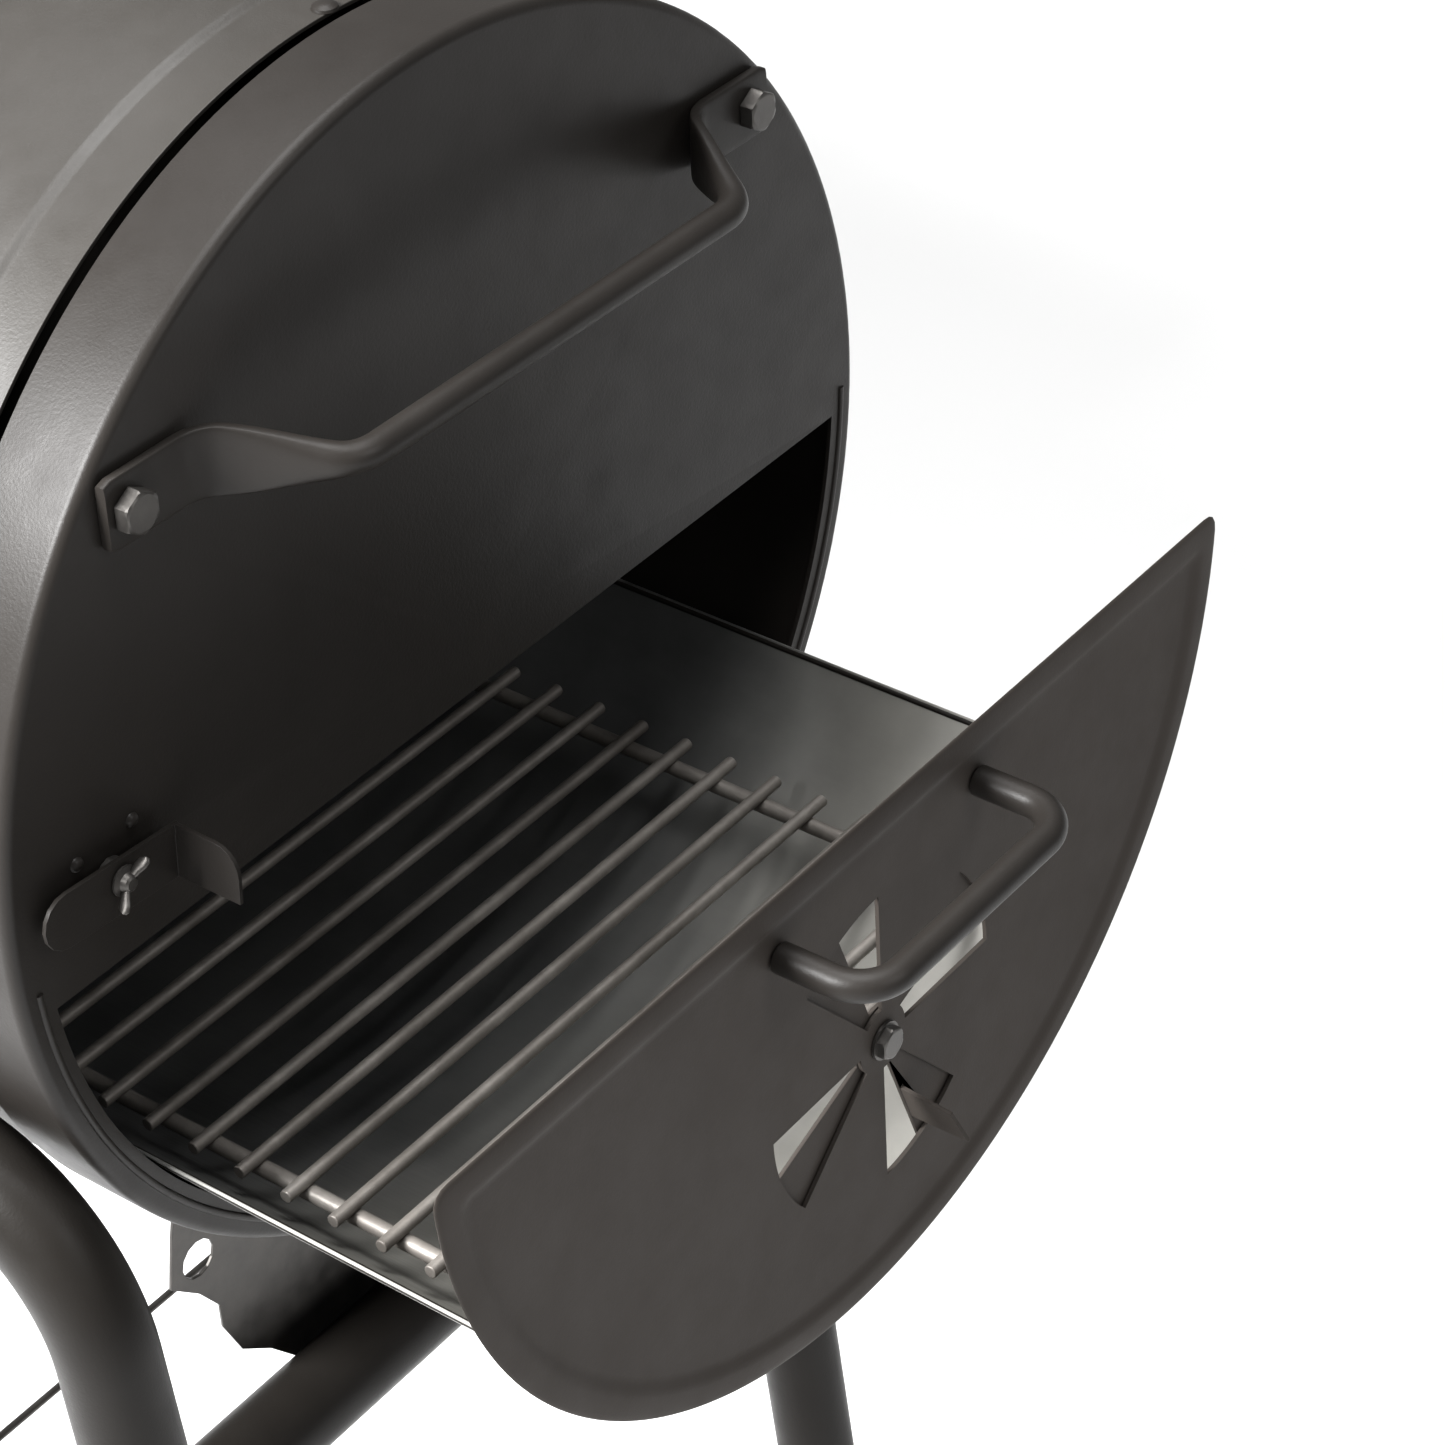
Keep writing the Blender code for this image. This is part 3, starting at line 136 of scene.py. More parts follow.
def soft_lamp(name, place, aim, size, power):
    data = bpy.data.lights.new(name, "AREA")
    data.shape = "RECTANGLE"
    data.size, data.size_y = size
    data.energy = power
    lamp = bpy.data.objects.new(name, data)
    lamp.location = place
    lamp.rotation_euler = (Vector(aim) - Vector(place)).to_track_quat("-Z", "Y").to_euler()
    bpy.context.collection.objects.link(lamp)


def floor():
    bm = bmesh.new()
    bmesh.ops.create_grid(bm, x_segments=1, y_segments=1, size=FLOOR_HALF)
    mesh = bpy.data.meshes.new("floor")
    bm.to_mesh(mesh)
    bm.free()
    pale = bpy.data.materials.new("floor_paint")
    pale.use_nodes = True
    shader = pale.node_tree.nodes["Principled BSDF"]
    shader.inputs["Base Color"].default_value = (FLOOR_TONE, FLOOR_TONE, FLOOR_TONE, 1.0)
    shader.inputs["Roughness"].default_value = 0.9
    mesh.materials.append(pale)
    ground = bpy.data.objects.new("floor", mesh)
    bpy.context.collection.objects.link(ground)


floor()
world = bpy.data.worlds.new("studio")
world.use_nodes = True
world.node_tree.nodes["Background"].inputs["Color"].default_value = (1.0, 1.0, 1.0, 1.0)
world.node_tree.nodes["Background"].inputs["Strength"].default_value = SURROUND
bpy.context.scene.world = world
bpy.context.scene.view_settings.view_transform = "Standard"
soft_lamp("overhead", (0.3, 0.2, 3.4), (0.2, 0.0, 0.6), (2.4, 1.6), 170.0)
soft_lamp("side", (-0.6, -2.3, 2.6), (0.1, 0.0, 0.7), (1.5, 0.9), 760.0)
soft_lamp("right", (3.2, 0.4, 2.4), (0.3, 0.0, 0.6), (1.2, 1.2), 30.0)
print("studio ready")


# %% [markdown]
# ## Helpers for finishes
# A finish is a small node tree. Each one starts from object coordinates, so its grain
# keeps its real size on every piece and never slides when a piece moves. The helpers
# below add a noise, a ramp or a bump, and return the socket to carry on from.

# %% Node helpers
def new_finish(name, metallic, roughness):
    """A material with its shader, and object coordinates to draw on."""
    made = bpy.data.materials.new(name)
    made.use_nodes = True
    tree = made.node_tree
    shader = tree.nodes["Principled BSDF"]
    shader.inputs["Metallic"].default_value = metallic
    shader.inputs["Roughness"].default_value = roughness
    coords = tree.nodes.new("ShaderNodeTexCoord").outputs["Object"]
    return made, tree, shader, coords


def stretched(tree, coords, scale):
    """The same coordinates, squeezed by a factor along each axis."""
    mapping = tree.nodes.new("ShaderNodeMapping")
    mapping.inputs["Scale"].default_value = scale
    tree.links.new(coords, mapping.inputs["Vector"])
    return mapping.outputs["Vector"]


def noise(tree, coords, scale, detail, rough):
    node = tree.nodes.new("ShaderNodeTexNoise")
    node.inputs["Scale"].default_value = scale
    node.inputs["Detail"].default_value = detail
    node.inputs["Roughness"].default_value = rough
    tree.links.new(coords, node.inputs["Vector"])
    return node.outputs["Fac"]


def ramp(tree, value, *stops):
    """A colour ramp through (position, colour) stops; a plain number is a grey."""
    node = tree.nodes.new("ShaderNodeValToRGB")
    elements = node.color_ramp.elements
    while len(elements) < len(stops):
        elements.new(0.5)
    for element, (position, colour) in zip(elements, stops):
        shade = (colour,) * 3 if isinstance(colour, float) else colour
        element.position = position
        element.color = (*shade, 1.0)
    tree.links.new(value, node.inputs["Fac"])
    return node.outputs["Color"]


def shade(tree, shader, socket, value, *stops):
    """Let a texture set one of the shader's sockets, through a ramp."""
    tree.links.new(ramp(tree, value, *stops), shader.inputs[socket])


def bump(tree, height, shader, distance, strength, below=None):
    """Raise the surface by a height texture, on top of an earlier bump if there is one."""
    node = tree.nodes.new("ShaderNodeBump")
    node.inputs["Distance"].default_value = distance
    node.inputs["Strength"].default_value = strength
    tree.links.new(height, node.inputs["Height"])
    if below is not None:
        tree.links.new(below, node.inputs["Normal"])
    tree.links.new(node.outputs["Normal"], shader.inputs["Normal"])
    return node.outputs["Normal"]


# %% [markdown]
# ## The coating
# The barrels wear a dark, heat-proof powder coat: charcoal with a little brown, satin, and
# covered in a very fine orange peel. Real coats also vary slowly in tone over a hand's
# width, because the powder lands unevenly. So the colour and the gloss follow a wide
# noise, and two finer noises make the peel and the grit as bump.

# %% Powder coat finishes
def coat(name, dark, light, gloss, sheen):
    """A satin powder coat between two tints; gloss is (smoothest, roughest)."""
    made, tree, shader, coords = new_finish(name, 0.0, 0.5)
    wide = noise(tree, coords, 7.0, 4.0, 0.6)
    shade(tree, shader, "Base Color", wide, (0.32, dark), (0.70, light))
    rub = noise(tree, coords, 55.0, 5.0, 0.65)
    shade(tree, shader, "Roughness", rub, (0.30, gloss[0]), (0.75, gloss[1]))
    shader.inputs["Specular IOR Level"].default_value = sheen
    peel = bump(tree, noise(tree, coords, 900.0, 2.0, 0.5), shader, 0.00010, 0.55)
    bump(tree, noise(tree, coords, 2600.0, 2.0, 0.6), shader, 0.00005, 0.5, peel)
    return made


POWDER = coat("powder_coat", (0.0080, 0.0070, 0.0062), (0.0122, 0.0107, 0.0095), (0.36, 0.48), 0.12)
# The lid coat is the same paint as the powder coat with lighter tints: painted light, for the brightness
# that the key lamp gives the lid.
LID_COAT_PAINTED_LIGHT = coat("lid_coat_painted_light", (0.0130, 0.0117, 0.0102), (0.0185, 0.0168, 0.0148), (0.37, 0.50), 0.24)
DRAWER_COAT = coat("drawer_coat", (0.0235, 0.0202, 0.0178), (0.0280, 0.0242, 0.0214), (0.52, 0.64), 0.045)
FRAME_COAT = coat("frame_coat", (0.0058, 0.0051, 0.0045), (0.0098, 0.0087, 0.0076), (0.34, 0.46), 0.09)
print("coats:", POWDER.name, LID_COAT_PAINTED_LIGHT.name, DRAWER_COAT.name, FRAME_COAT.name)


# %% [markdown]
# ## Bare and plated steel
# The tray is bare sheet, so it shines softly in streaks along the rolling direction, and a
# painted shade darkens it towards the inside of the barrel. The grate rods are round wire
# with a brown bloom where they have been hot. Bolts, hinges and brackets are dark plated
# steel. Streaks come from a noise that is stretched along one axis, and heat marks from a
# blotchy noise that mixes a few tints.

# %% Steel finishes
# The tray's painted shade is full up to the first place and gone from the second.
PAINTED_SHADE_END_X = FACE_X - 40.0 * MM
UNSHADED_START_X = FACE_X + 75.0 * MM


def tray_steel():
    """Bare sheet, lighter by the drawer's front and darker towards the inside of the barrel, as painted
    shade.
    """
    made, tree, shader, coords = new_finish("tray_steel", 0.20, 0.42)
    blotch = noise(tree, coords, 14.0, 5.0, 0.6)
    unshaded_tint = ramp(tree, blotch, (0.30, (0.125, 0.122, 0.112)), (0.72, (0.195, 0.190, 0.172)))
    painted_shade_tint = ramp(tree, blotch, (0.30, (0.040, 0.041, 0.041)), (0.72, (0.085, 0.086, 0.084)))
    # Blend along X from the painted shade tints inside the barrel to the unshaded tints by the drawer's
    # front.
    place = tree.nodes.new("ShaderNodeSeparateXYZ")
    tree.links.new(coords, place.inputs["Vector"])
    span = tree.nodes.new("ShaderNodeMapRange")
    span.inputs["From Min"].default_value = PAINTED_SHADE_END_X
    span.inputs["From Max"].default_value = UNSHADED_START_X
    span.interpolation_type = "SMOOTHSTEP"
    tree.links.new(place.outputs["X"], span.inputs["Value"])
    mix = tree.nodes.new("ShaderNodeMix")
    mix.data_type = "RGBA"
    tree.links.new(span.outputs["Result"], mix.inputs["Factor"])
    tree.links.new(painted_shade_tint, mix.inputs[6])
    tree.links.new(unshaded_tint, mix.inputs[7])
    tree.links.new(mix.outputs[2], shader.inputs["Base Color"])
    streak = noise(tree, stretched(tree, coords, (6.0, 160.0, 160.0)), 4.0, 4.0, 0.6)
    shade(tree, shader, "Roughness", streak, (0.25, 0.40), (0.80, 0.54))
    bump(tree, streak, shader, 0.00006, 0.5)
    return made


def worn_rod():
    made, tree, shader, coords = new_finish("worn_rod", 0.45, 0.50)
    heat = noise(tree, coords, 26.0, 5.0, 0.65)
    shade(tree, shader, "Base Color", heat, (0.28, (0.078, 0.069, 0.061)), (0.55, (0.150, 0.138, 0.125)),
          (0.80, (0.270, 0.254, 0.234)))
    shade(tree, shader, "Roughness", heat, (0.30, 0.58), (0.80, 0.34))
    bump(tree, noise(tree, coords, 700.0, 4.0, 0.7), shader, 0.00015, 0.6)
    return made


def dark_plate():
    made, tree, shader, coords = new_finish("dark_plate", 0.75, 0.40)
    cloud = noise(tree, coords, 90.0, 4.0, 0.6)
    shade(tree, shader, "Base Color", cloud, (0.30, (0.030, 0.028, 0.026)), (0.75, (0.062, 0.058, 0.054)))
    shade(tree, shader, "Roughness", cloud, (0.30, 0.32), (0.80, 0.50))
    bump(tree, noise(tree, coords, 1500.0, 3.0, 0.6), shader, 0.00006, 0.5)
    return made


TRAY_STEEL, WORN_ROD, DARK_PLATE = tray_steel(), worn_rod(), dark_plate()
print("steels:", TRAY_STEEL.name, WORN_ROD.name, DARK_PLATE.name)


# %% [markdown]
# ## Rubber, plastic and the dial
# The feet are matte rubber with a dusty bloom, and the wheels are black moulded plastic
# with a fine leathery texture. The thermometer has a brushed rim and a pale enamel face
# with dark marks. One function makes every moulded finish from its tints and its grain.

# %% Small finishes
def moulded(name, dark, light, rough, grain):
    made, tree, shader, coords = new_finish(name, 0.0, rough)
    dust = noise(tree, coords, 30.0, 4.0, 0.6)
    shade(tree, shader, "Base Color", dust, (0.35, dark), (0.75, light))
    leather = noise(tree, coords, grain, 3.0, 0.5)
    shade(tree, shader, "Roughness", leather, (0.3, rough - 0.08), (0.7, rough + 0.08))
    bump(tree, leather, shader, 0.00012, 0.6)
    return made


def brushed_rim():
    made, tree, shader, coords = new_finish("brushed_rim", 1.0, 0.3)
    streak = noise(tree, stretched(tree, coords, (400.0, 400.0, 20.0)), 3.0, 3.0, 0.6)
    shade(tree, shader, "Base Color", streak, (0.3, (0.48, 0.47, 0.45)), (0.7, (0.62, 0.61, 0.59)))
    shade(tree, shader, "Roughness", streak, (0.3, 0.24), (0.7, 0.36))
    return made


def enamel():
    made, tree, shader, coords = new_finish("enamel", 0.0, 0.35)
    cloud = noise(tree, coords, 60.0, 3.0, 0.5)
    shade(tree, shader, "Base Color", cloud, (0.3, (0.72, 0.71, 0.66)), (0.7, (0.80, 0.79, 0.75)))
    return made


RUBBER = moulded("rubber", (0.012, 0.012, 0.012), (0.030, 0.029, 0.027), 0.80, 900.0)
WHEEL_PLASTIC = moulded("wheel_plastic", (0.016, 0.016, 0.016), (0.028, 0.028, 0.027), 0.52, 1100.0)
BRUSHED_RIM, ENAMEL = brushed_rim(), enamel()
MARKING = moulded("dial_marking", (0.010, 0.010, 0.010), (0.020, 0.020, 0.020), 0.45, 900.0)
print("small finishes:", RUBBER.name, WHEEL_PLASTIC.name, BRUSHED_RIM.name, ENAMEL.name)


# %% [markdown]
# ## Helpers for shapes
# Most of a smoker is turned, bent or cut from sheet, so three helpers make nearly all of
# it: one turns an outline about an axis, one skins a stack of rings, and one lays such
# rings along a bent path. A fourth, for plain hardware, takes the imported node's own mesh,
# merges its loose triangles, and rounds its edges so that they catch the light.

# %% Piece, and the edge rounding that finishes it
def piece(name, bm, finish, body, nodes=(), sharp=30.0, edge=0.0):
    """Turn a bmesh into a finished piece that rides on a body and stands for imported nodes."""
    bmesh.ops.remove_doubles(bm, verts=bm.verts, dist=1e-6)
    bmesh.ops.recalc_face_normals(bm, faces=bm.faces)
    mesh = bpy.data.meshes.new(name)
    bm.to_mesh(mesh)
    bm.free()
    mesh.materials.append(finish)
    mesh.shade_smooth()
    mesh.set_sharp_from_angle(angle=math.radians(sharp))
    made = bpy.data.objects.new(name, mesh)
    bpy.context.collection.objects.link(made)
    if edge:
        rounding = made.modifiers.new("edge", "BEVEL")
        rounding.width = edge
        rounding.segments = 2
        rounding.limit_method = "ANGLE"
        rounding.angle_limit = math.radians(sharp)
        rounding.harden_normals = True
    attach(made, body)
    if nodes:
        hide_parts(*nodes)
    return made


# %% Turned, lofted and flat shapes
def facing(place, direction):
    """A frame whose X axis points along direction."""
    swing = Vector((1, 0, 0)).rotation_difference(Vector(direction))
    return Matrix.Translation(Vector(place)) @ swing.to_matrix().to_4x4()


def turned(outline, place, steps, first=0.0, last=360.0):
    """Turn a closed outline of (along, radius) points about the X axis of place."""
    bm = bmesh.new()
    whole = last - first >= 360.0
    columns = []
    for step in range(steps if whole else steps + 1):
        angle = math.radians(first + (last - first) * step / steps)
        y, z = math.cos(angle), math.sin(angle)
        columns.append([bm.verts.new(place @ Vector((a, r * y, r * z))) for a, r in outline])
    pairs = list(zip(columns, columns[1:])) + ([(columns[-1], columns[0])] if whole else [])
    for one, two in pairs:
        for index in range(len(outline)):
            after = (index + 1) % len(outline)
            if outline[index][1] > 0 or outline[after][1] > 0:
                bm.faces.new((one[index], one[after], two[after], two[index]))
    if not whole:
        bm.faces.new(columns[0])
        bm.faces.new(columns[-1])
    return bm


def loft(rings, bm=None):
    """Skin rings of equal count and close both ends, as a new shape or added to one."""
    if bm is None:
        bm = bmesh.new()
    skins = [[bm.verts.new(point) for point in ring] for ring in rings]
    for one, two in zip(skins, skins[1:]):
        for index in range(len(one)):
            after = (index + 1) % len(one)
            bm.faces.new((one[index], one[after], two[after], two[index]))
    bm.faces.new(skins[0])
    bm.faces.new(skins[-1])
    return bm


def circle(radius, sides):
    turns = [2 * math.pi * k / sides for k in range(sides)]
    return [(radius * math.cos(a), radius * math.sin(a)) for a in turns]


def arc(centre, radius, first, last, steps):
    """Points of an arc in degrees, with both ends."""
    turns = [math.radians(first + (last - first) * k / steps) for k in range(steps + 1)]
    return [(centre[0] + radius * math.cos(a), centre[1] + radius * math.sin(a)) for a in turns]


# %% Bent bars and tubes
def bent_path(points, radius, steps=12):
    """A path through points with its corners bent to the radius."""
    path = [points[0]]
    for before, corner, after in zip(points, points[1:], points[2:]):
        into, out = (corner - before).normalized(), (after - corner).normalized()
        swing = into.angle(out)
        axis = into.cross(out).normalized()
        start = corner - into * radius * math.tan(swing / 2)
        centre = start + axis.cross(into) * radius
        for step in range(steps + 1):
            path.append(centre + Matrix.Rotation(swing * step / steps, 3, axis) @ (start - centre))
    path.append(points[-1])
    return path


def rings_on(path, normal, sections):
    """Section rings square to a flat path; normal is square to the path's plane."""
    rings = []
    for index, point in enumerate(path):
        before, after = path[max(index - 1, 0)], path[min(index + 1, len(path) - 1)]
        side = (after - before).normalized().cross(normal)
        rings.append([point + side * u + normal * v for u, v in sections[index]])
    return rings


def bar(path, normal, radius, sides=24):
    """A solid bar with a small round at each end."""
    first, last = path[0], path[-1]
    ends = [(path[1] - first).normalized(), (path[-2] - last).normalized()]
    lip = radius * 0.15
    full = [first, first + ends[0] * lip] + path[1:-1] + [last + ends[1] * lip, last]
    sizes = [radius - lip] + [radius] * (len(full) - 2) + [radius - lip]
    return loft(rings_on(full, normal, [circle(size, sides) for size in sizes]))


def tube(path, normal, radius, sides):
    """A hollow tube of the same sheet thickness, with open ends."""
    bm = bmesh.new()
    skins = []
    for size in (radius, radius - SHEET):
        rings = rings_on(path, normal, [circle(size, sides)] * len(path))
        skins.append([[bm.verts.new(point) for point in ring] for ring in rings])
    for rings in skins:
        for one, two in zip(rings, rings[1:]):
            for index in range(sides):
                after = (index + 1) % sides
                bm.faces.new((one[index], one[after], two[after], two[index]))
    for end in (0, -1):
        outer, inner = skins[0][end], skins[1][end]
        for index in range(sides):
            after = (index + 1) % sides
            bm.faces.new((outer[index], outer[after], inner[after], inner[index]))
    return bm


# %% Cutting holes
def loose(bm, name):
    mesh = bpy.data.meshes.new(name)
    bmesh.ops.recalc_face_normals(bm, faces=bm.faces)
    bm.to_mesh(mesh)
    bm.free()
    made = bpy.data.objects.new(name, mesh)
    bpy.context.collection.objects.link(made)
    return made


def carved(bm, cutters):
    """A copy of the shape with closed cutters taken away, by exact Booleans."""
    bmesh.ops.remove_doubles(bm, verts=bm.verts, dist=1e-6)
    stock = loose(bm, "stock")
    tools = [loose(cutter, "tool") for cutter in cutters]
    for tool in tools:
        cut = stock.modifiers.new("cut", "BOOLEAN")
        cut.operation = "DIFFERENCE"
        cut.solver = "EXACT"
        cut.object = tool
    result = bmesh.new()
    result.from_object(stock, bpy.context.evaluated_depsgraph_get())
    for spare in [stock] + tools:
        bpy.data.objects.remove(spare, do_unlink=True)
    return result


def punch(place, direction, radius, depth, sides=32):
    """A round cutter centred on a place."""
    spot = facing(place, direction)
    return loft([[spot @ Vector((a, u, v)) for u, v in circle(radius, sides)] for a in (-depth, depth)])


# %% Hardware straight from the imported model
def refined(node, finish, body, edge=0.35 * MM, sharp=28.0):
    """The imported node's own shape, merged and with rounded edges."""
    bm = bmesh.new()
    bm.from_mesh(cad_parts[node].data)
    bmesh.ops.remove_doubles(bm, verts=bm.verts, dist=2e-6)
    bmesh.ops.dissolve_limit(bm, angle_limit=math.radians(0.3), verts=bm.verts, edges=bm.edges)
    piece(f"{node}_shape", bm, finish, body, (node,), sharp, edge)


print("helpers ready")


# %% [markdown]
# ## The firebox's round ends
# Each end of a barrel is a pressed dish: a disc whose rim is folded back as a flange. The
# outer end also has the half-round opening for the drawer. A turned outline gives the dish
# its soft fold, and an exact Boolean cuts the opening, which is a circle below a straight
# line. Around the opening the sheet carries a thin pressed bead that stiffens it.

# %% Pressed ends
CAP_DEPTH = 35.0 * MM
FOLD = 4.0 * MM
OPENING_RADIUS = 201.4 * MM
OPENING_TOP = -20.2 * MM


def dish_outline(radius, outward):
    """The dish's section, from its flange round the soft fold to the middle and back inside."""
    fold = [(-FOLD + FOLD * math.sin(t), radius - FOLD + FOLD * math.cos(t))
            for t in [math.pi / 2 * k / 8 for k in range(9)]]
    inside = [(-FOLD + (FOLD - SHEET) * math.sin(t), radius - FOLD + (FOLD - SHEET) * math.cos(t))
              for t in [math.pi / 2 * k / 4 for k in range(4, -1, -1)]]
    lip = 0.5 * MM
    outline = [(-CAP_DEPTH, radius - lip), (-CAP_DEPTH + lip, radius)] + fold
    outline += [(0.0, 0.0), (-SHEET, 0.0)] + inside + [(-CAP_DEPTH, radius - SHEET)]
    return [(a * outward, r) for a, r in outline]


def d_outline(radius, top, corner=0.0, steps=150):
    """A circle about the barrel's axis, cut off above by a straight line."""
    reach = math.degrees(math.asin(-(top - corner) / radius))
    points = arc((0.0, AXIS_Z), radius, 180.0 + reach, 360.0 - reach, steps)
    if corner:
        level = AXIS_Z + top
        for end, way in ((points[-1], 1), (points[0], -1)):
            knee = Vector((way * math.sqrt(radius ** 2 - top ** 2), level))
            start, stop = Vector(end), knee - Vector((way * corner, 0.0))
            soft = [start.lerp(knee, t).lerp(knee.lerp(stop, t), t) for t in (0.25, 0.5, 0.75, 1.0)]
            points += [tuple(p) for p in (soft if way > 0 else soft[::-1])]
    return points


def pressed_end(node, face_x, outward, axis_z, radius, cutters):
    dish = turned(dish_outline(radius, outward), Matrix.Translation((face_x, 0.0, axis_z)), 192)
    piece(f"{node}_dish", carved(dish, cutters), POWDER, "smoker", (node,), 35.0)


def opening_cutter():
    ring = d_outline(OPENING_RADIUS, OPENING_TOP)
    return loft([[Vector((FACE_X + x, y, z)) for y, z in ring] for x in (-0.01, 0.01)])


def bolt_holes():
    """Clearance holes for the carry handle's two bolts and the latch screw."""
    holes = []
    fittings = (("carry_handle_front_bolt", 4.3), ("carry_handle_rear_bolt", 4.3), ("latch_screw", 2.8))
    for node, radius in fittings:
        middle = middle_of(node)
        holes.append(punch((FACE_X, middle.y, middle.z), (1, 0, 0), radius * MM, 0.006))
    return holes


PORT_Z = AXIS_Z + 95.0 * MM
PORT_RADIUS = 80.0 * MM
CHIMNEY_Z = CHAMBER_Z + 60.0 * MM
CHIMNEY_HOLE_RADIUS = 36.5 * MM
CUT_DEPTH = 12.0 * MM
ports = [punch((x, 0, PORT_Z), (1, 0, 0), PORT_RADIUS, CUT_DEPTH, 96) for x in (INNER_X, CHAMBER_X)]
chimney_hole = punch((CHAMBER_END_X, 0, CHIMNEY_Z), (1, 0, 0), CHIMNEY_HOLE_RADIUS, CUT_DEPTH, 64)
pressed_end("firebox_end_cap", FACE_X, 1, AXIS_Z, RADIUS, [opening_cutter()] + bolt_holes())
pressed_end("firebox_inner_cap", INNER_X, -1, AXIS_Z, RADIUS, [ports[0]])
pressed_end("chamber_near_cap", CHAMBER_X, 1, CHAMBER_Z, CHAMBER_RADIUS, [ports[1]])
pressed_end("chamber_far_cap", CHAMBER_END_X, -1, CHAMBER_Z, CHAMBER_RADIUS, [chimney_hole])
print("four pressed ends")


# %% The bead round the opening
def opening_bead():
    """A half-round bead pressed into the strip between the opening and the fold."""
    middle, half = 206.6 * MM, 1.3 * MM
    crown = [(0.9 * MM * math.cos(t), middle + half * math.sin(t))
             for t in [math.pi * (k / 8 - 0.5) for k in range(9)]]
    outline = crown + [(-0.6 * MM, middle + half), (-0.6 * MM, middle - half)]
    bead = turned(outline, Matrix.Translation((FACE_X, 0.0, AXIS_Z)), 160, 183.0, 357.0)
    piece("opening_bead", bead, POWDER, "smoker", sharp=50.0)


opening_bead()
print("bead made")


# %% [markdown]
# ## The barrels and their lids
# The fixed part of a barrel is a rolled sheet that tucks into the flanges of both ends.
# The lid is rolled too, and closes over the top. Near each end of the lid the sheet steps
# up by a millimetre and a half, which makes the faint ridge that runs round it. The step
# is a smooth ramp in the turned outline, so that the highlight bends instead of breaking.

# %% Fixed sheets
STEP_ANGLE = 360.0 / 64
SHELL_FRONT = 31 * STEP_ANGLE
LID_FRONT = 32 * STEP_ANGLE
LID_REAR = 7 * STEP_ANGLE
LID_RISE = 1.5 * MM
ON_LID = LID_RISE + GAP


def fixed_sheet(node, x_low, x_high, axis_z, radius):
    outer = radius - SHEET - GAP
    start, stop = x_low + FOLD + GAP, x_high - FOLD - GAP
    outline = [(start, outer), (stop, outer), (stop, outer - SHEET), (start, outer - SHEET)]
    sheet = turned(outline, Matrix.Translation((0.0, 0.0, axis_z)), 150, SHELL_FRONT, 360.0 + LID_REAR)
    piece(f"{node}_sheet", sheet, POWDER, "smoker", (node,), 35.0, 0.3 * MM)


fixed_sheet("firebox_shell", INNER_X, FACE_X, AXIS_Z, RADIUS)
fixed_sheet("chamber_shell", CHAMBER_END_X, CHAMBER_X, CHAMBER_Z, CHAMBER_RADIUS)
print("fixed sheets rolled from", SHELL_FRONT, "to", 360.0 + LID_REAR, "degrees")


# %% Lids
def lid_outline(low, high, radius):
    """Plain band, smooth ramp, raised middle, and the same again; the sheet follows below."""
    band, slope = 21.0 * MM, 5.0 * MM
    eased = [(t, radius + LID_RISE * (3 * t * t - 2 * t ** 3)) for t in [k / 6 for k in range(7)]]
    left = [(low + band + slope * t, r) for t, r in eased]
    right = [(high - band - slope * t, r) for t, r in reversed(eased)]
    outer = [(low, radius)] + left + right + [(high, radius)]
    return outer + [(a, r - SHEET) for a, r in reversed(outer)]


def rolled_lid(node, axis_z, radius, cutters=()):
    low, high = corners(node)
    outline = lid_outline(low.x, high.x, radius)
    sheet = turned(outline, Matrix.Translation((0.0, 0.0, axis_z)), 110, LID_REAR, LID_FRONT)
    if cutters:
        sheet = carved(sheet, cutters)
    # The lid takes the lighter lid coat, whose tints are painted light.
    piece(f"{node}_sheet", sheet, LID_COAT_PAINTED_LIGHT, node, (node,), 40.0, 0.35 * MM)


def on_barrel(x, axis_z, radius, step):
    """A place on a barrel and the direction straight out of it."""
    angle = math.radians(step * STEP_ANGLE)
    outward = Vector((0.0, math.cos(angle), math.sin(angle)))
    return Vector((x, 0.0, axis_z)) + outward * radius, outward


DIAL_X = (CHAMBER_X + CHAMBER_END_X) / 2
DIAL_STEP = 27
DIAL_SEAT, DIAL_OUT = on_barrel(DIAL_X, CHAMBER_Z, CHAMBER_RADIUS + ON_LID, DIAL_STEP)
rolled_lid("firebox_lid", AXIS_Z, RADIUS)
rolled_lid("chamber_lid", CHAMBER_Z, CHAMBER_RADIUS, [punch(DIAL_SEAT, DIAL_OUT, 3.3 * MM, CUT_DEPTH)])
print("two lids")


# %% Stop bolt on the firebox lid
STOP_BOLT_X = FACE_X - 42.4 * MM
STOP_BOLT_STEP = 15.82


def stop_bolt():
    """A low round head near the lid's outer seam."""
    seat, outward = on_barrel(STOP_BOLT_X, AXIS_Z, RADIUS, STOP_BOLT_STEP)
    dome = in_mm((0.05, 0.0), (0.05, 4.4), (1.0, 4.1), (1.8, 2.8), (2.1, 1.2), (2.1, 0.0))
    piece("firebox_lid_stop_bolt", turned(dome, facing(seat, outward), 36), POWDER, "firebox_lid", (), 40.0)


stop_bolt()
print("stop bolt set")


# %% [markdown]
# ## Rows of round bars with Geometry Nodes
# The fire grate, the two cooking grates and the wire rack are all the same idea: equal
# round bars, laid side by side at one pitch. One small node tree makes any of them. A mesh
# line gives the places, a swept circle gives the bar, and the instances are realised at
# the end, so that the result is ordinary mesh. Its sizes are named inputs.

# %% What every tree starts and ends with
def new_tree(name, **kinds):
    """A tree with named inputs of the given kinds, and the sockets that carry them."""
    tree = bpy.data.node_groups.new(name, "GeometryNodeTree")
    face = tree.interface
    face.new_socket(name="Geometry", in_out="OUTPUT", socket_type="NodeSocketGeometry")
    for label, kind in kinds.items():
        face.new_socket(name=label.replace("_", " "), in_out="INPUT", socket_type=f"NodeSocket{kind}")
    return tree, tree.nodes.new("NodeGroupInput").outputs


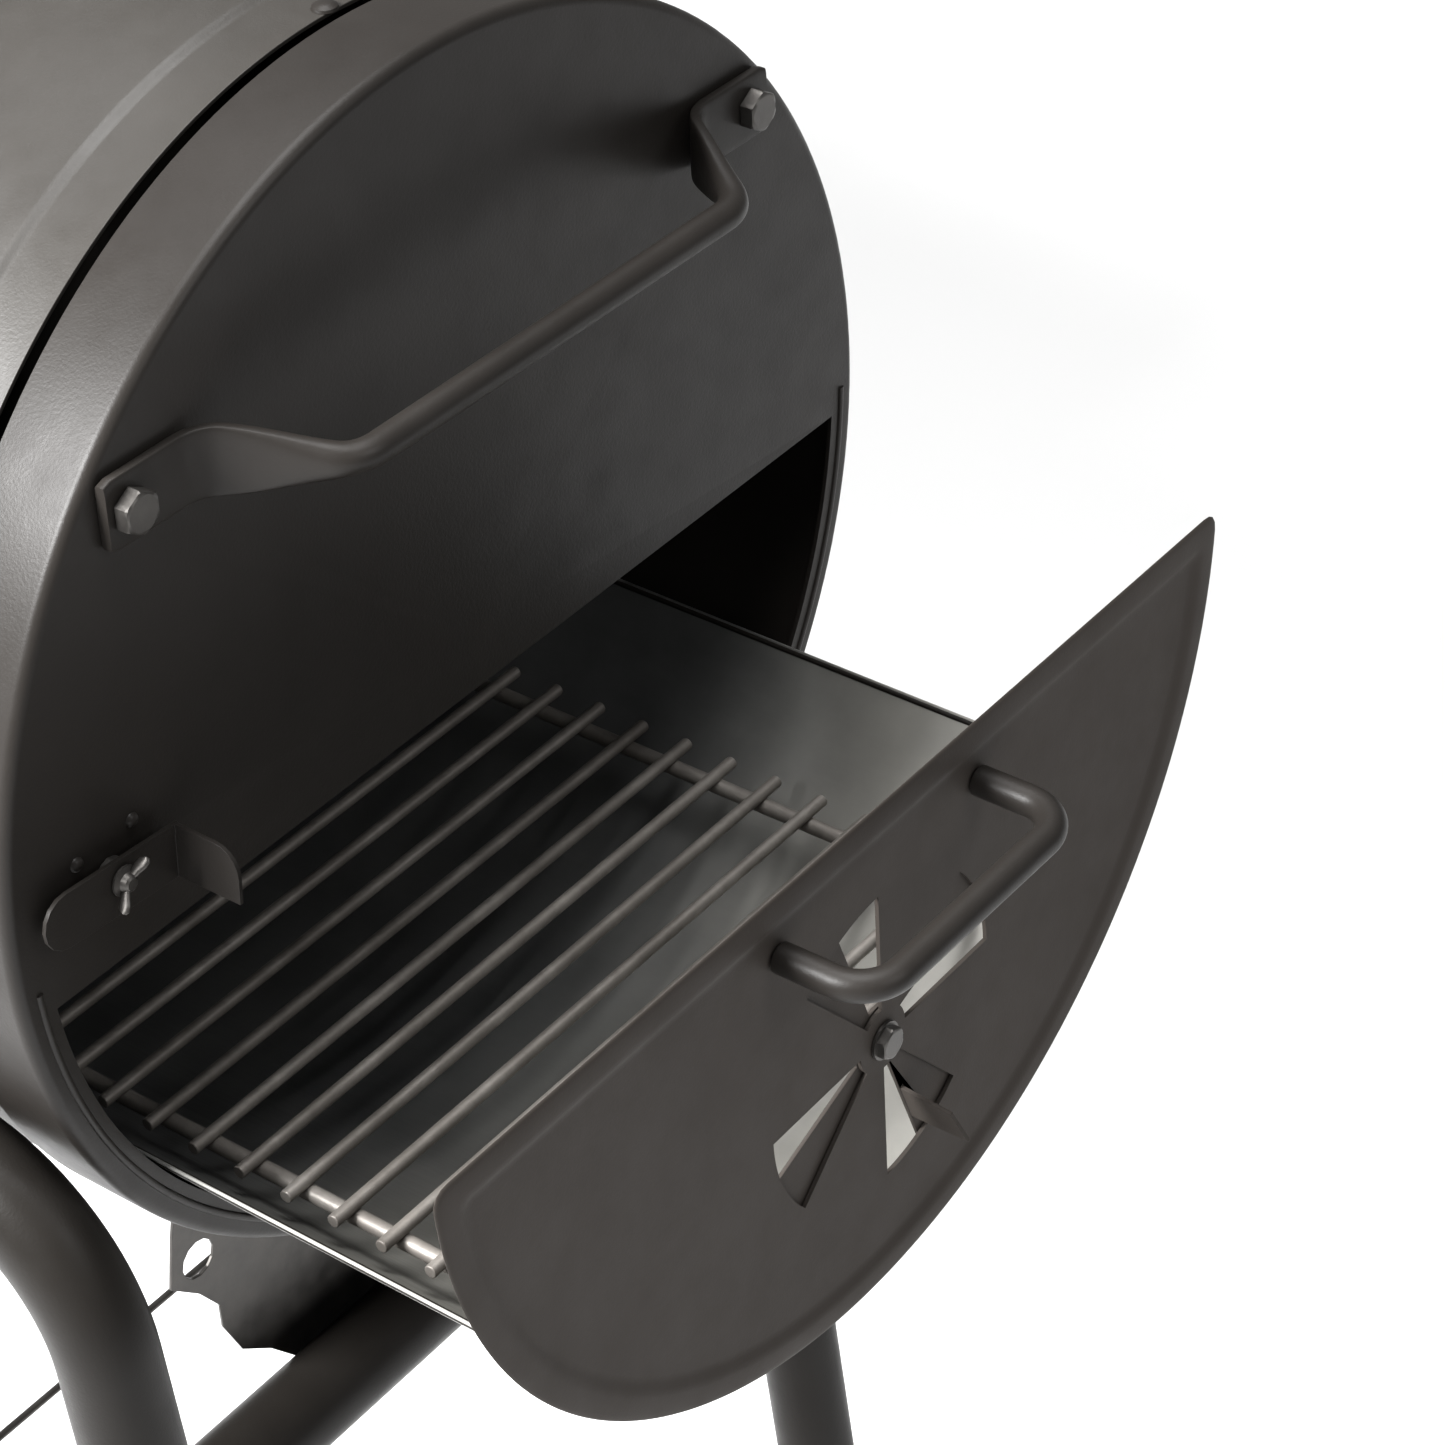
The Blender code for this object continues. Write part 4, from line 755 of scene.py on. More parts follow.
def real_and_painted(tree, given, instances):
    """Turn the instances into mesh, give them the finish, and send them out."""
    new, link = tree.nodes.new, tree.links.new
    real, paint, result = [new(kind) for kind in (
        "GeometryNodeRealizeInstances", "GeometryNodeSetMaterial", "NodeGroupOutput")]
    link(instances, real.inputs["Geometry"])
    link(real.outputs["Geometry"], paint.inputs["Geometry"])
    link(given["Finish"], paint.inputs["Material"])
    link(paint.outputs["Geometry"], result.inputs["Geometry"])
    return tree


# %% The row-of-bars tree
def row_tree():
    tree, given = new_tree("row_of_bars", Count="Int", First="Vector", Step="Vector", Bar_From="Vector",
                           Bar_To="Vector", Radius="Float", Finish="Material")
    new, link = tree.nodes.new, tree.links.new
    line, shape = new("GeometryNodeMeshLine"), new("GeometryNodeCurvePrimitiveLine")
    ring, sweep = new("GeometryNodeCurvePrimitiveCircle"), new("GeometryNodeCurveToMesh")
    place = new("GeometryNodeInstanceOnPoints")
    ring.inputs["Resolution"].default_value = 20
    sweep.inputs["Fill Caps"].default_value = True
    link(given["Count"], line.inputs["Count"])
    link(given["First"], line.inputs["Start Location"])
    link(given["Step"], line.inputs["Offset"])
    link(given["Bar From"], shape.inputs["Start"])
    link(given["Bar To"], shape.inputs["End"])
    link(given["Radius"], ring.inputs["Radius"])
    link(shape.outputs["Curve"], sweep.inputs["Curve"])
    link(ring.outputs["Curve"], sweep.inputs["Profile Curve"])
    link(line.outputs["Mesh"], place.inputs["Points"])
    link(sweep.outputs["Mesh"], place.inputs["Instance"])
    return real_and_painted(tree, given, place.outputs["Instances"])


# %% Grow a plain mesh from a tree
def grown(tree, name, body, finish, nodes=(), edge=0.0, **sizes):
    """Run a tree with its named inputs, and keep the result as an ordinary piece."""
    host = bpy.data.objects.new(f"{name}_host", bpy.data.meshes.new(f"{name}_host"))
    bpy.context.collection.objects.link(host)
    grower = host.modifiers.new("grow", "NODES")
    grower.node_group = tree
    known = {item.name: item.identifier for item in tree.interface.items_tree
             if item.in_out == "INPUT"}
    for label, value in dict(sizes, Finish=finish).items():
        grower[known[label.replace("_", " ")]] = value
    graph = bpy.context.evaluated_depsgraph_get()
    mesh = bpy.data.meshes.new_from_object(host.evaluated_get(graph))
    bpy.data.objects.remove(host, do_unlink=True)
    bm = bmesh.new()
    bm.from_mesh(mesh)
    made = piece(name, bm, finish, body, nodes, 50.0, edge)
    print(name, "has", len(made.data.polygons), "faces")
    return made


ROW = row_tree()
print("tree ready:", ROW.name)


# %% [markdown]
# ## Grates
# A grate's rods run across, and two long bars below tie them together. The cooking grates
# rest on the curved sheet, and the fire grate stands on four short legs. The rods and the
# bars are grown from the same tree, and every end keeps a small rounded edge where it was cut.

# %% Grates and wire rack
ROD, LONG_BAR, WELD = 4.8 * MM, 6.0 * MM, 0.8 * MM
LEG_RADIUS = 2.7 * MM
LEG_INSET = 40.0 * MM
TRAY_RADIUS = 200.5 * MM
TRAY_SHEET = 1.2 * MM
RACK_WIRES = 7
RACK_MARGIN = 6.0 * MM
RACK_INNER_HALF = 67.0 * MM
WIRE_LAYER = 4.0 * MM
WIRE_RADIUS = 1.5 * MM


def grate(node, body, count, overhang, ends):
    """Rods along Y with two long bars beneath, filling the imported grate's box."""
    low, high = corners(node)
    pitch = (high.x - low.x - ends[0] - ends[1]) / (count - 1)
    rod_z = high.z - ROD / 2
    bar_z = rod_z - (ROD + LONG_BAR) / 2 + WELD
    bar_y = (low.y + overhang, high.y - overhang)
    grown(ROW, f"{node}_rods", body, WORN_ROD, (node,), 0.5 * MM, Count=count,
          First=(low.x + ends[0], 0.0, rod_z), Step=(pitch, 0.0, 0.0), Bar_From=(0.0, low.y, 0.0),
          Bar_To=(0.0, high.y, 0.0), Radius=ROD / 2)
    grown(ROW, f"{node}_bars", body, WORN_ROD, (), 0.5 * MM, Count=2, First=(0.0, bar_y[0], bar_z),
          Step=(0.0, bar_y[1] - bar_y[0], 0.0), Bar_From=(low.x, 0.0, 0.0), Bar_To=(high.x, 0.0, 0.0),
          Radius=LONG_BAR / 2)
    return low, high, bar_y, bar_z


def grate_legs():
    """Four pegs under the fire grate's long bars, standing on the tray's curve."""
    low, high, bar_y, bar_z = grate("fire_grate", "ash_drawer", 18, 10.0 * MM, (10.0 * MM, 12.0 * MM))
    tray_inside = TRAY_RADIUS - TRAY_SHEET - GAP
    for side, y in zip(("front", "rear"), bar_y):
        foot = AXIS_Z - math.sqrt(tray_inside ** 2 - (abs(y) + LEG_RADIUS) ** 2)
        for end, x in (("inner", low.x + LEG_INSET), ("outer", high.x - LEG_INSET)):
            peg = bar([Vector((x, y, foot)), Vector((x, y, bar_z))], Vector((1, 0, 0)), LEG_RADIUS)
            piece(f"fire_grate_{side}_{end}_leg", peg, WORN_ROD, "ash_drawer", (), 40.0)


grate_legs()
for side in ("near", "far"):
    grate(f"{side}_cooking_grate", "smoker", 12, 60.0 * MM, (6.0 * MM, 6.0 * MM))


def wire_rack():
    low, high = corners("wire_rack")
    pitch = (high.x - low.x - 2 * RACK_MARGIN) / (RACK_WIRES - 1)
    grown(ROW, "rack_cross_wires", "smoker", DARK_PLATE, ("wire_rack",), Count=RACK_WIRES,
          First=(low.x + RACK_MARGIN, 0.0, low.z + WIRE_LAYER / 2), Step=(pitch, 0.0, 0.0),
          Bar_From=(0.0, low.y, 0.0), Bar_To=(0.0, high.y, 0.0), Radius=WIRE_RADIUS)
    for label, half in (("outer", high.y - WIRE_LAYER), ("inner", RACK_INNER_HALF)):
        grown(ROW, f"rack_{label}_wires", "smoker", DARK_PLATE, Count=2,
              First=(0.0, -half, low.z + WIRE_LAYER), Step=(0.0, 2 * half, 0.0),
              Bar_From=(low.x, 0.0, 0.0), Bar_To=(high.x, 0.0, 0.0), Radius=WIRE_RADIUS)


wire_rack()


# %% [markdown]
# ## The ash drawer
# The drawer's front is one sheet with the same half-round shape as the opening, and a rim
# that is pressed outwards all round, which stiffens it. It is skinned from insets of one
# outline, so the soft step follows the edge exactly. Four sectors are cut through it
# for air, and a pinwheel disc behind them opens or closes them. The tray is one rolled
# sheet with a back wall, bare inside.

# %% Drawer front
DRAWER_RADIUS = 209.5 * MM
DRAWER_TOP = -8.4 * MM
DAMPER_CENTRE = Vector((9.0 * MM, AXIS_Z - 105.5 * MM))
SLOT_INNER, SLOT_OUTER = 12.5 * MM, 60.5 * MM
SLOT_START, SLOT_WIDTH = 1.0, 41.0


def sector_cutters():
    """Cutters for the four air slots, a quarter turn apart."""
    made = []
    for quarter in range(4):
        start = SLOT_START + 90.0 * quarter
        ring = arc(DAMPER_CENTRE, SLOT_OUTER, start, start + SLOT_WIDTH, 16)
        ring += arc(DAMPER_CENTRE, SLOT_INNER, start + SLOT_WIDTH, start, 5)
        span = (PLATE_X - 0.006, PLATE_X + 0.004)
        made.append(loft([[Vector((x, y, z)) for y, z in ring] for x in span]))
    return made


def drawer_front():
    """The plate, skinned from its middle outwards, up over the raised rim and back behind."""
    step_up = ((15.0, 0.0), (13.6, 0.12), (12.2, 0.55), (10.8, 1.2), (9.4, 1.65), (8.0, 1.8))
    edge_round = ((5.0, 1.72), (2.5, 1.55), (1.0, 1.30), (0.3, 1.0), (0.0, 0.6), (0.1, 0.35), (0.4, 0.3))
    back = ((8.0, 0.3), (14.5, -1.5))
    rings = []
    for inset, depth in step_up + edge_round + back:
        corner = (7.5 - inset * 0.25) * MM
        outline = d_outline(DRAWER_RADIUS - inset * MM, DRAWER_TOP - inset * MM, corner)
        rings.append([Vector((PLATE_X + depth * MM, y, z)) for y, z in outline])
    plate = carved(loft(rings), sector_cutters())
    piece("drawer_front_plate", plate, DRAWER_COAT, "ash_drawer", ("drawer_front",), 40.0)


drawer_front()
print("drawer front cut")


# %% Tray
def tray():
    """A rolled trough with a back wall and small folded edges along the top."""
    low, high = corners("drawer_tray")
    inside = TRAY_RADIUS - TRAY_SHEET
    wall_top = high.z - AXIS_Z
    reach = math.degrees(math.asin(-wall_top / TRAY_RADIUS))
    outline = [(low.x, TRAY_RADIUS), (high.x, TRAY_RADIUS), (high.x, inside), (low.x, inside)]
    trough = turned(outline, Matrix.Translation((0.0, 0.0, AXIS_Z)), 90, 180.0 + reach, 360.0 - reach)
    piece("tray_trough", trough, TRAY_STEEL, "ash_drawer", ("drawer_tray",), 35.0, 0.4 * MM)
    ring = arc((0.0, AXIS_Z), inside - 0.1 * MM, 181.0 + reach, 359.0 - reach, 90)
    wall_from = low.x + 0.2 * MM
    back = loft([[Vector((x, y, z)) for y, z in ring] for x in (wall_from, wall_from + TRAY_SHEET)])
    piece("tray_back_wall", back, TRAY_STEEL, "ash_drawer", (), 35.0, 0.3 * MM)
    hem_radius = 1.1 * MM
    for side, way in (("front", -1), ("rear", 1)):
        y = way * (math.sqrt(TRAY_RADIUS ** 2 - wall_top ** 2) - 1.4 * MM)
        path = [Vector((x, y, high.z - hem_radius)) for x in (low.x + 2 * MM, high.x - 2 * MM)]
        # The folds take the dark frame coat, not the tray's bare steel: painted shade, so that they stay
        # dark where the side lamp lights them.
        piece(f"tray_{side}_hem", bar(path, Vector((0, 0, 1)), hem_radius, 16), FRAME_COAT, "ash_drawer")


tray()
for node in ("front_drawer_runner", "rear_drawer_runner"):
    refined(node, DARK_PLATE, "smoker")
print("tray and runners")


# %% [markdown]
# ## Bolts
# A hexagon head has flat sides, a round chamfer on top and often a washer face below. The
# chamfer is what makes it read as a bolt: the corners are cut back by a shallow cone. The
# head here is lofted from a hexagon and a smaller circle, both with the same point count.

# %% Hexagon bolts
def hexagon(flats, sides=48):
    """A hexagon sampled at many points, so that it can be skinned to a circle."""
    ring = []
    for k in range(sides):
        a = 2 * math.pi * k / sides
        local = (a + math.pi / 6) % (math.pi / 3) - math.pi / 6
        reach = flats / 2 / math.cos(local)
        ring.append((reach * math.cos(a), reach * math.sin(a)))
    return ring


def clipped(ring, radius):
    """The ring with its corners cut back to a circle."""
    shrunk = [(u, v, min(1.0, radius / math.hypot(u, v))) for u, v in ring]
    return [(u * share, v * share) for u, v, share in shrunk]


def hex_bolt(name, node, body, flats, seat, washer=0.0):
    """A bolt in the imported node's place, with its head growing along +X from its seat."""
    low, high = corners(node)
    middle = (low + high) / 2
    head = high.x - seat
    face = 1.0 * MM if washer else 0.0
    ring, round_top, shank = hexagon(flats), circle(flats * 0.47, 48), circle(flats * 0.31, 48)
    levels = [(low.x, shank), (seat, shank)]
    if washer:
        levels += [(seat, circle(washer, 48)), (seat + face, circle(washer, 48))]
    levels += [(seat + face, ring), (high.x - head * 0.22, ring),
               (high.x - head * 0.08, clipped(ring, flats * 0.535)),
               (high.x, clipped(round_top, flats * 0.46))]
    bolt = loft([[Vector((x, middle.y + u, middle.z + v)) for u, v in outline] for x, outline in levels])
    piece(name, bolt, DARK_PLATE, body, (node,), 24.0)


HEAD_TALL = 5.3 * MM
pad_top = corners("carry_handle_front_bolt")[1].x - HEAD_TALL
for end in ("front", "rear"):
    hex_bolt(f"carry_handle_{end}_hex", f"carry_handle_{end}_bolt", "smoker", 13.0 * MM, pad_top)
hex_bolt("damper_hex", "damper_bolt", "ash_drawer", 10.6 * MM, PLATE_X + GAP, 7.0 * MM)
print("bolts seated at", round(pad_top, 5))


# %% [markdown]
# ## Damper disc
# The pinwheel is stamped from one sheet: four blades, a round hub, and one blade edge bent
# out through a slot as a tab for a poker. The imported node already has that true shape, so
# it is carried over with its edges rounded. The bolt above it has its round collar already.

# %% Damper
refined("damper_disc", DRAWER_COAT, "damper", 0.25 * MM)
print("damper carried over")


# %% [markdown]
# ## Handles
# The carry handle is forged from one bar. Its middle is round, and both ends are squeezed
# flat and bolted down, so the bar widens as it meets the pads. Each ring of the loft is a
# blend between a circle and a flat pad, with an easing curve, which gives the soft neck.
# The drawer's and the lids' handles are plain bent bars welded on.

# %% Carry handle
def pad_ring(share, bar_radius, thick, tall, sides=40):
    """A ring between a round bar (share 0) and a flat pad (share 1)."""
    power = 1.0 - 0.72 * share
    ring = []
    for u, v in circle(1.0, sides):
        flat_u = math.copysign(abs(u) ** power, u) * (bar_radius + (thick / 2 - bar_radius) * share)
        flat_v = math.copysign(abs(v) ** power, v) * (bar_radius + (tall / 2 - bar_radius) * share)
        ring.append((flat_u, flat_v))
    return ring


def dense(path, spacing):
    """The same path with extra points along its straight runs."""
    points = []
    for one, two in zip(path, path[1:]):
        count = max(1, round((two - one).length / spacing))
        points += [one.lerp(two, k / count) for k in range(count)]
    return points + [path[-1]]


def carry_handle():
    high, middle = corners("carry_handle")[1], middle_of("carry_handle")
    tip, pad_inner, bar_half = 159.0 * MM, 119.0 * MM, 93.0 * MM
    bar_radius, pad_thick, pad_tall, tilt = 5.1 * MM, 4.0 * MM, 24.0 * MM, math.radians(-1.0)
    seat, reach = pad_thick / 2, high.x - FACE_X - bar_radius - GAP
    stations = [Vector((seat, tip, 0)), Vector((seat, pad_inner, 0)), Vector((reach, bar_half, 0))]
    run = [Vector((p.x, -p.y, 0)) for p in stations] + stations[::-1]
    path = dense(bent_path(run, 16.0 * MM, 10), 3.0 * MM)
    rings = []
    for point in path:
        share = min(max((abs(point.y) - bar_half + 2 * MM) / (pad_inner - bar_half), 0.0), 1.0)
        eased = share * share * (3 - 2 * share)
        end = min(1.0, (tip - abs(point.y)) / (4.0 * MM))
        tall = pad_tall * (0.90 + 0.10 * math.sqrt(max(0.0, 1 - (1 - end) ** 2)))
        rings.append(pad_ring(eased, bar_radius, pad_thick, tall))
    place = Matrix.Translation((FACE_X + GAP, middle.y, middle.z)) @ Matrix.Rotation(tilt, 4, "X")
    grip = loft([[place @ point for point in ring] for ring in rings_on(path, Vector((0, 0, 1)), rings)])
    grip = carved(grip, bolt_holes()[:2])
    piece("carry_handle_bar", grip, POWDER, "smoker", ("carry_handle",), 40.0, 0.4 * MM)


carry_handle()
print("carry handle forged")


# %% Drawer and lid handles
HANDLE_BEND = 15.0 * MM
HANDLE_STEP = 29
HANDLE_RISE = 45.0 * MM


def drawer_handle():
    low, high = corners("drawer_handle")
    radius = (high.z - low.z) / 2
    z = (low.z + high.z) / 2
    points = [Vector((low.x, low.y + radius, z)), Vector((high.x - radius, low.y + radius, z)),
              Vector((high.x - radius, high.y - radius, z)), Vector((low.x, high.y - radius, z))]
    grip = bar(bent_path(points, HANDLE_BEND, 14), Vector((0, 0, 1)), radius, 32)
    piece("drawer_handle_bar", grip, POWDER, "ash_drawer", ("drawer_handle",), 40.0)


def lid_handle(node, body, axis_z, radius):
    """A bent bar on a lid, with a small foot disc under each end."""
    low, high = corners(node)
    bar_radius = 6.0 * MM
    seat, outward = on_barrel(0.0, axis_z, radius + ON_LID, HANDLE_STEP)
    ends = [Vector((x, seat.y, seat.z)) for x in (low.x + bar_radius, high.x - bar_radius)]
    rise = outward * HANDLE_RISE
    points = [ends[0], ends[0] + rise, ends[1] + rise, ends[1]]
    grip = bar(bent_path(points, HANDLE_BEND, 12), Vector((1, 0, 0)).cross(outward), bar_radius, 28)
    piece(f"{node}_bar", grip, POWDER, body, (node,), 40.0)
    foot = in_mm((0.2, 0.0), (0.2, 11.0), (1.2, 11.0), (2.0, 9.5), (2.0, 0.0))
    for label, place in zip(("left", "right"), ends):
        piece(f"{node}_{label}_foot", turned(foot, facing(place, outward), 40), POWDER, body, (), 40.0)


drawer_handle()
lid_handle("firebox_lid_handle", "firebox_lid", AXIS_Z, RADIUS)
lid_handle("chamber_lid_handle", "chamber_lid", CHAMBER_Z, CHAMBER_RADIUS)
print("three bent handles")


# %% [markdown]
# ## Latch
# The latch is a small stamped plate that turns on a screw beside the opening. Its finger
# tab is bent out, and a wing screw holds it. The wings are two flattened lobes on a round
# hub. Two little weld marks on the end face stop the latch when it is turned up.

# %% Latch, wing screw and stops
def wing_screw():
    tip, hub = corners("latch_screw")[0].x, middle_of("latch_screw")
    base = corners("drawer_latch")[0].x + SHEET + GAP
    shank = 2.4 * MM
    head = in_mm((0.0, 5.2), (0.9, 5.2), (1.5, 3.4), (3.2, 2.8), (3.8, 2.0), (3.8, 0.0))
    outline = [(tip, 0.0), (tip, shank), (base, shank)] + [(base + a, r) for a, r in head]
    screw = turned(outline, Matrix.Translation((0.0, hub.y, hub.z)), 40)
    piece("latch_screw_hub", screw, DARK_PLATE, "smoker", ("latch_screw",), 32.0)
    lean = Matrix.Translation((base, hub.y, hub.z)) @ Matrix.Rotation(math.radians(-43.0), 4, "X")
    lobe = ((1.8, 1.2, 2.2), (4.0, 1.7, 2.8), (6.2, 2.3, 3.6), (8.2, 2.1, 4.3), (9.2, 0.9, 4.7))
    for label, way in (("upper", 1), ("lower", -1)):
        rings = []
        for reach, wide, rise in lobe:
            ring = [Vector((rise + wide * u, 0.9 * v, way * reach)) * MM for u, v in circle(1.0, 20)]
            rings.append([lean @ point for point in ring])
        piece(f"latch_{label}_wing", loft(rings), DARK_PLATE, "smoker", (), 45.0)


def weld_stop(name, y, z):
    dome = in_mm((0.1, 0.0), (0.1, 2.6), (0.8, 2.3), (1.5, 1.5), (1.8, 0.0))
    piece(name, turned(dome, Matrix.Translation(at(0.0, y, z)), 24), POWDER, "smoker", (), 50.0)


refined("drawer_latch", POWDER, "latch", 0.12 * MM)
refined("latch_spacer", DARK_PLATE, "smoker", 0.2 * MM)
wing_screw()
weld_stop("left_weld_stop", -184.0 * MM, 24.5 * MM)
weld_stop("right_weld_stop", -160.0 * MM, 26.0 * MM)
print("latch done")


# %% [markdown]
# ## Hinges
# Each lid turns on two hinges at the back. A hinge is a pin through two knuckles, one on
# a leaf fixed to the barrel and one on a leaf fixed to the lid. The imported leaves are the
# true shape, and a row of rivet heads is grown along each with Geometry Nodes.

# %% Rivet tree and hinges
def rivet_tree():
    tree, given = new_tree("rivet_row", Count="Int", First="Vector", Step="Vector", Radius="Float",
                           Finish="Material")
    new, link = tree.nodes.new, tree.links.new
    line, head = new("GeometryNodeMeshLine"), new("GeometryNodeMeshUVSphere")
    place = new("GeometryNodeInstanceOnPoints")
    head.inputs["Segments"].default_value = 20
    head.inputs["Rings"].default_value = 12
    link(given["Count"], line.inputs["Count"])
    link(given["First"], line.inputs["Start Location"])
    link(given["Step"], line.inputs["Offset"])
    link(given["Radius"], head.inputs["Radius"])
    link(line.outputs["Mesh"], place.inputs["Points"])
    link(head.outputs["Mesh"], place.inputs["Instance"])
    return real_and_painted(tree, given, place.outputs["Instances"])


RIVETS = rivet_tree()
RIVET_RADIUS = 2.2 * MM
RIVET_PITCH = 9.0 * MM
RIVET_OFFSET = 21.0 * MM
ON_LEAF = 3.3 * MM


def hinge(barrel, label, axis_z, radius):
    """Two leaves with their rivets, and the pin between them."""
    leaves = (("fixed_leaf", "smoker", -1, radius - SHEET - GAP),
              ("lid_leaf", f"{barrel}_lid", 1, radius + LID_RISE))
    for part, body, way, skin in leaves:
        node = f"{barrel}_{label}_{part}"
        refined(node, DARK_PLATE, body)
        step = (LID_REAR + way * math.degrees(RIVET_OFFSET / radius)) / STEP_ANGLE
        seat = on_barrel(middle_of(node).x, axis_z, skin + ON_LEAF, step)[0]
        first = seat - Vector((RIVET_PITCH / 2, 0, 0))
        grown(RIVETS, f"{node}_rivets", body, DARK_PLATE, Count=2, First=tuple(first),
              Step=(RIVET_PITCH, 0.0, 0.0), Radius=RIVET_RADIUS)
    refined(f"{barrel}_{label}_pin", BRUSHED_RIM, "smoker", 0.3 * MM)


for label in ("near_hinge", "far_hinge"):
    hinge("firebox", label, AXIS_Z, RADIUS)
    hinge("chamber", label, CHAMBER_Z, CHAMBER_RADIUS)
print("four hinges")


# %% [markdown]
# ## Frame
# The frame's two sides are each one steel tube, bent twice, so that the rail hugs the
# barrels and the legs lean outwards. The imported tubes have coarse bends, so the visual
# ones are swept again along the same centre line with finer arcs. Straight tubes tie the
# legs, and a stamped plate stands under the firebox.

# %% Side tubes
TUBE_RADIUS = 17.0 * MM
TUBE_BEND = 66.0 * MM
LEAN = 0.1155
rail_high = corners("front_side_tube")[1]
RAIL_Z = rail_high.z - TUBE_RADIUS
AXLE_X = middle_of("front_wheel").x
AXLE_Z = 90.0 * MM
CHIMNEY_LEG_X = AXLE_X + LEAN * (RAIL_Z - TUBE_BEND - AXLE_Z)
FRONT_BEND_X = FACE_X + 12.9 * MM
REAR_BEND_X = FACE_X - 83.0 * MM


def side_tube(label, bend_x):
    """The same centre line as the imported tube: leg, bend, rail, bend, leg."""
    y = middle_of(f"{label}_side_tube").y
    top_run = RAIL_Z - TUBE_BEND
    foot, stop = 16.8 * MM, AXLE_Z - 2 * TUBE_RADIUS
    points = [Vector((bend_x + LEAN * (top_run - foot), y, foot)),
              Vector((bend_x - LEAN * TUBE_BEND, y, RAIL_Z)),
              Vector((CHIMNEY_LEG_X + LEAN * TUBE_BEND, y, RAIL_Z)),
              Vector((CHIMNEY_LEG_X - LEAN * (top_run - stop), y, stop))]
    bent = tube(bent_path(points, TUBE_BEND, 20), Vector((0, 1, 0)), TUBE_RADIUS, 40)
    bent = carved(bent, [punch((AXLE_X, y, AXLE_Z), (0, 1, 0), 6.3 * MM, 2 * TUBE_RADIUS)])
    piece(f"{label}_side_tube_bent", bent, FRAME_COAT, "smoker", (f"{label}_side_tube",), 40.0)
    refined(f"{label}_foot", RUBBER, "smoker", 1.0 * MM, 40.0)


side_tube("front", FRONT_BEND_X)
side_tube("rear", REAR_BEND_X)
print("side tubes bent at x", round(FRONT_BEND_X, 4), "and", round(REAR_BEND_X, 4))


# %% Straight tubes, plates and saddles
def straight_tube(node, axis):
    """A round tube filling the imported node's box along X (0) or Y (1)."""
    low, high = corners(node)
    middle = (low + high) / 2
    radius = (high.z - low.z) / 2
    ends = [middle.copy(), middle.copy()]
    ends[0][axis], ends[1][axis] = low[axis], high[axis]
    piece(f"{node}_round", tube(ends, Vector((0, 0, 1)), radius, 40), FRAME_COAT, "smoker", (node,), 40.0)


for node in ("front_lower_rail", "rear_lower_rail"):
    straight_tube(node, 0)
for node in ("firebox_cross_strut", "chimney_cross_strut"):
    straight_tube(node, 1)
for node in ("firebox_support_bracket", "near_saddle", "far_saddle"):
    refined(node, DARK_PLATE, "smoker", 0.4 * MM)
print("straight tubes and plates")


# %% [markdown]
# ## Wheels
# The chimney end rolls on two moulded wheels. A turned outline gives the tyre, the web and
# the hub; round holes lighten the web; and the tread blocks are grown round the rim with
# Geometry Nodes. The axle is carried over from the imported model in bright steel.

# %% Tread tree
def tread_tree():
    tree, given = new_tree("tread_ring", Count="Int", Radius="Float", Block="Vector", Finish="Material")
    new, link = tree.nodes.new, tree.links.new
    ring, block = new("GeometryNodeCurvePrimitiveCircle"), new("GeometryNodeMeshCube")
    points, place = new("GeometryNodeCurveToPoints"), new("GeometryNodeInstanceOnPoints")
    ring.inputs["Resolution"].default_value = 180
    link(given["Radius"], ring.inputs["Radius"])
    link(given["Count"], points.inputs["Count"])
    link(ring.outputs["Curve"], points.inputs["Curve"])
    link(points.outputs["Points"], place.inputs["Points"])
    link(points.outputs["Rotation"], place.inputs["Rotation"])
    link(given["Block"], block.inputs["Size"])
    link(block.outputs["Mesh"], place.inputs["Instance"])
    return real_and_painted(tree, given, place.outputs["Instances"])


TREAD = tread_tree()


# %% Wheels and axle
WEB_HOLES = 6
WEB_HOLE_RADIUS = 9.0 * MM
WEB_HOLE_AT = 45.0 * MM
TREAD_BLOCKS = 44


def wheel_outline(bare, half):
    """Half of the section, from the bore out over the web to the tyre, and its mirror."""
    hub = [(half, 6.1 * MM), (half, 15.0 * MM), (half - 1.5 * MM, 17.5 * MM), (7.0 * MM, 20.0 * MM)]
    web = [(5.0 * MM, 24.0 * MM), (5.0 * MM, bare - 24.0 * MM), (7.0 * MM, bare - 20.0 * MM)]
    tyre = [(half - inset * MM, bare - below * MM) for inset, below in (
        (5.0, 17.0), (2.0, 12.0), (2.0, 5.0), (5.0, 1.5), (9.0, 0.0))]
    side = hub + web + tyre
    return side + [(-a, r) for a, r in reversed(side)]


def wheel(node):
    low, high = corners(node)
    middle = (low + high) / 2
    radius, half = (high.z - low.z) / 2, (high.y - low.y) / 2
    spin = facing(middle, (0, 1, 0))
    bare_wheel = turned(wheel_outline(radius - 1.2 * MM, half), spin, 120)
    holes = []
    for k in range(WEB_HOLES):
        a = 2 * math.pi * (k + 0.5) / WEB_HOLES
        spot = spin @ Vector((0.0, WEB_HOLE_AT * math.cos(a), WEB_HOLE_AT * math.sin(a)))
        holes.append(punch(spot, (0, 1, 0), WEB_HOLE_RADIUS, 0.03, 40))
    piece(f"{node}_moulding", carved(bare_wheel, holes), WHEEL_PLASTIC, node, (node,), 32.0, 0.5 * MM)
    blocks = grown(TREAD, f"{node}_tread", node, WHEEL_PLASTIC, (), 0.3 * MM, Count=TREAD_BLOCKS,
                   Radius=radius - 1.6 * MM, Block=(2.0 * MM, 2 * half - 16.0 * MM, 5.0 * MM))
    upright = Matrix.Rotation(math.pi / 2, 4, "X")
    blocks.data.transform(Matrix.Translation(middle) @ upright)


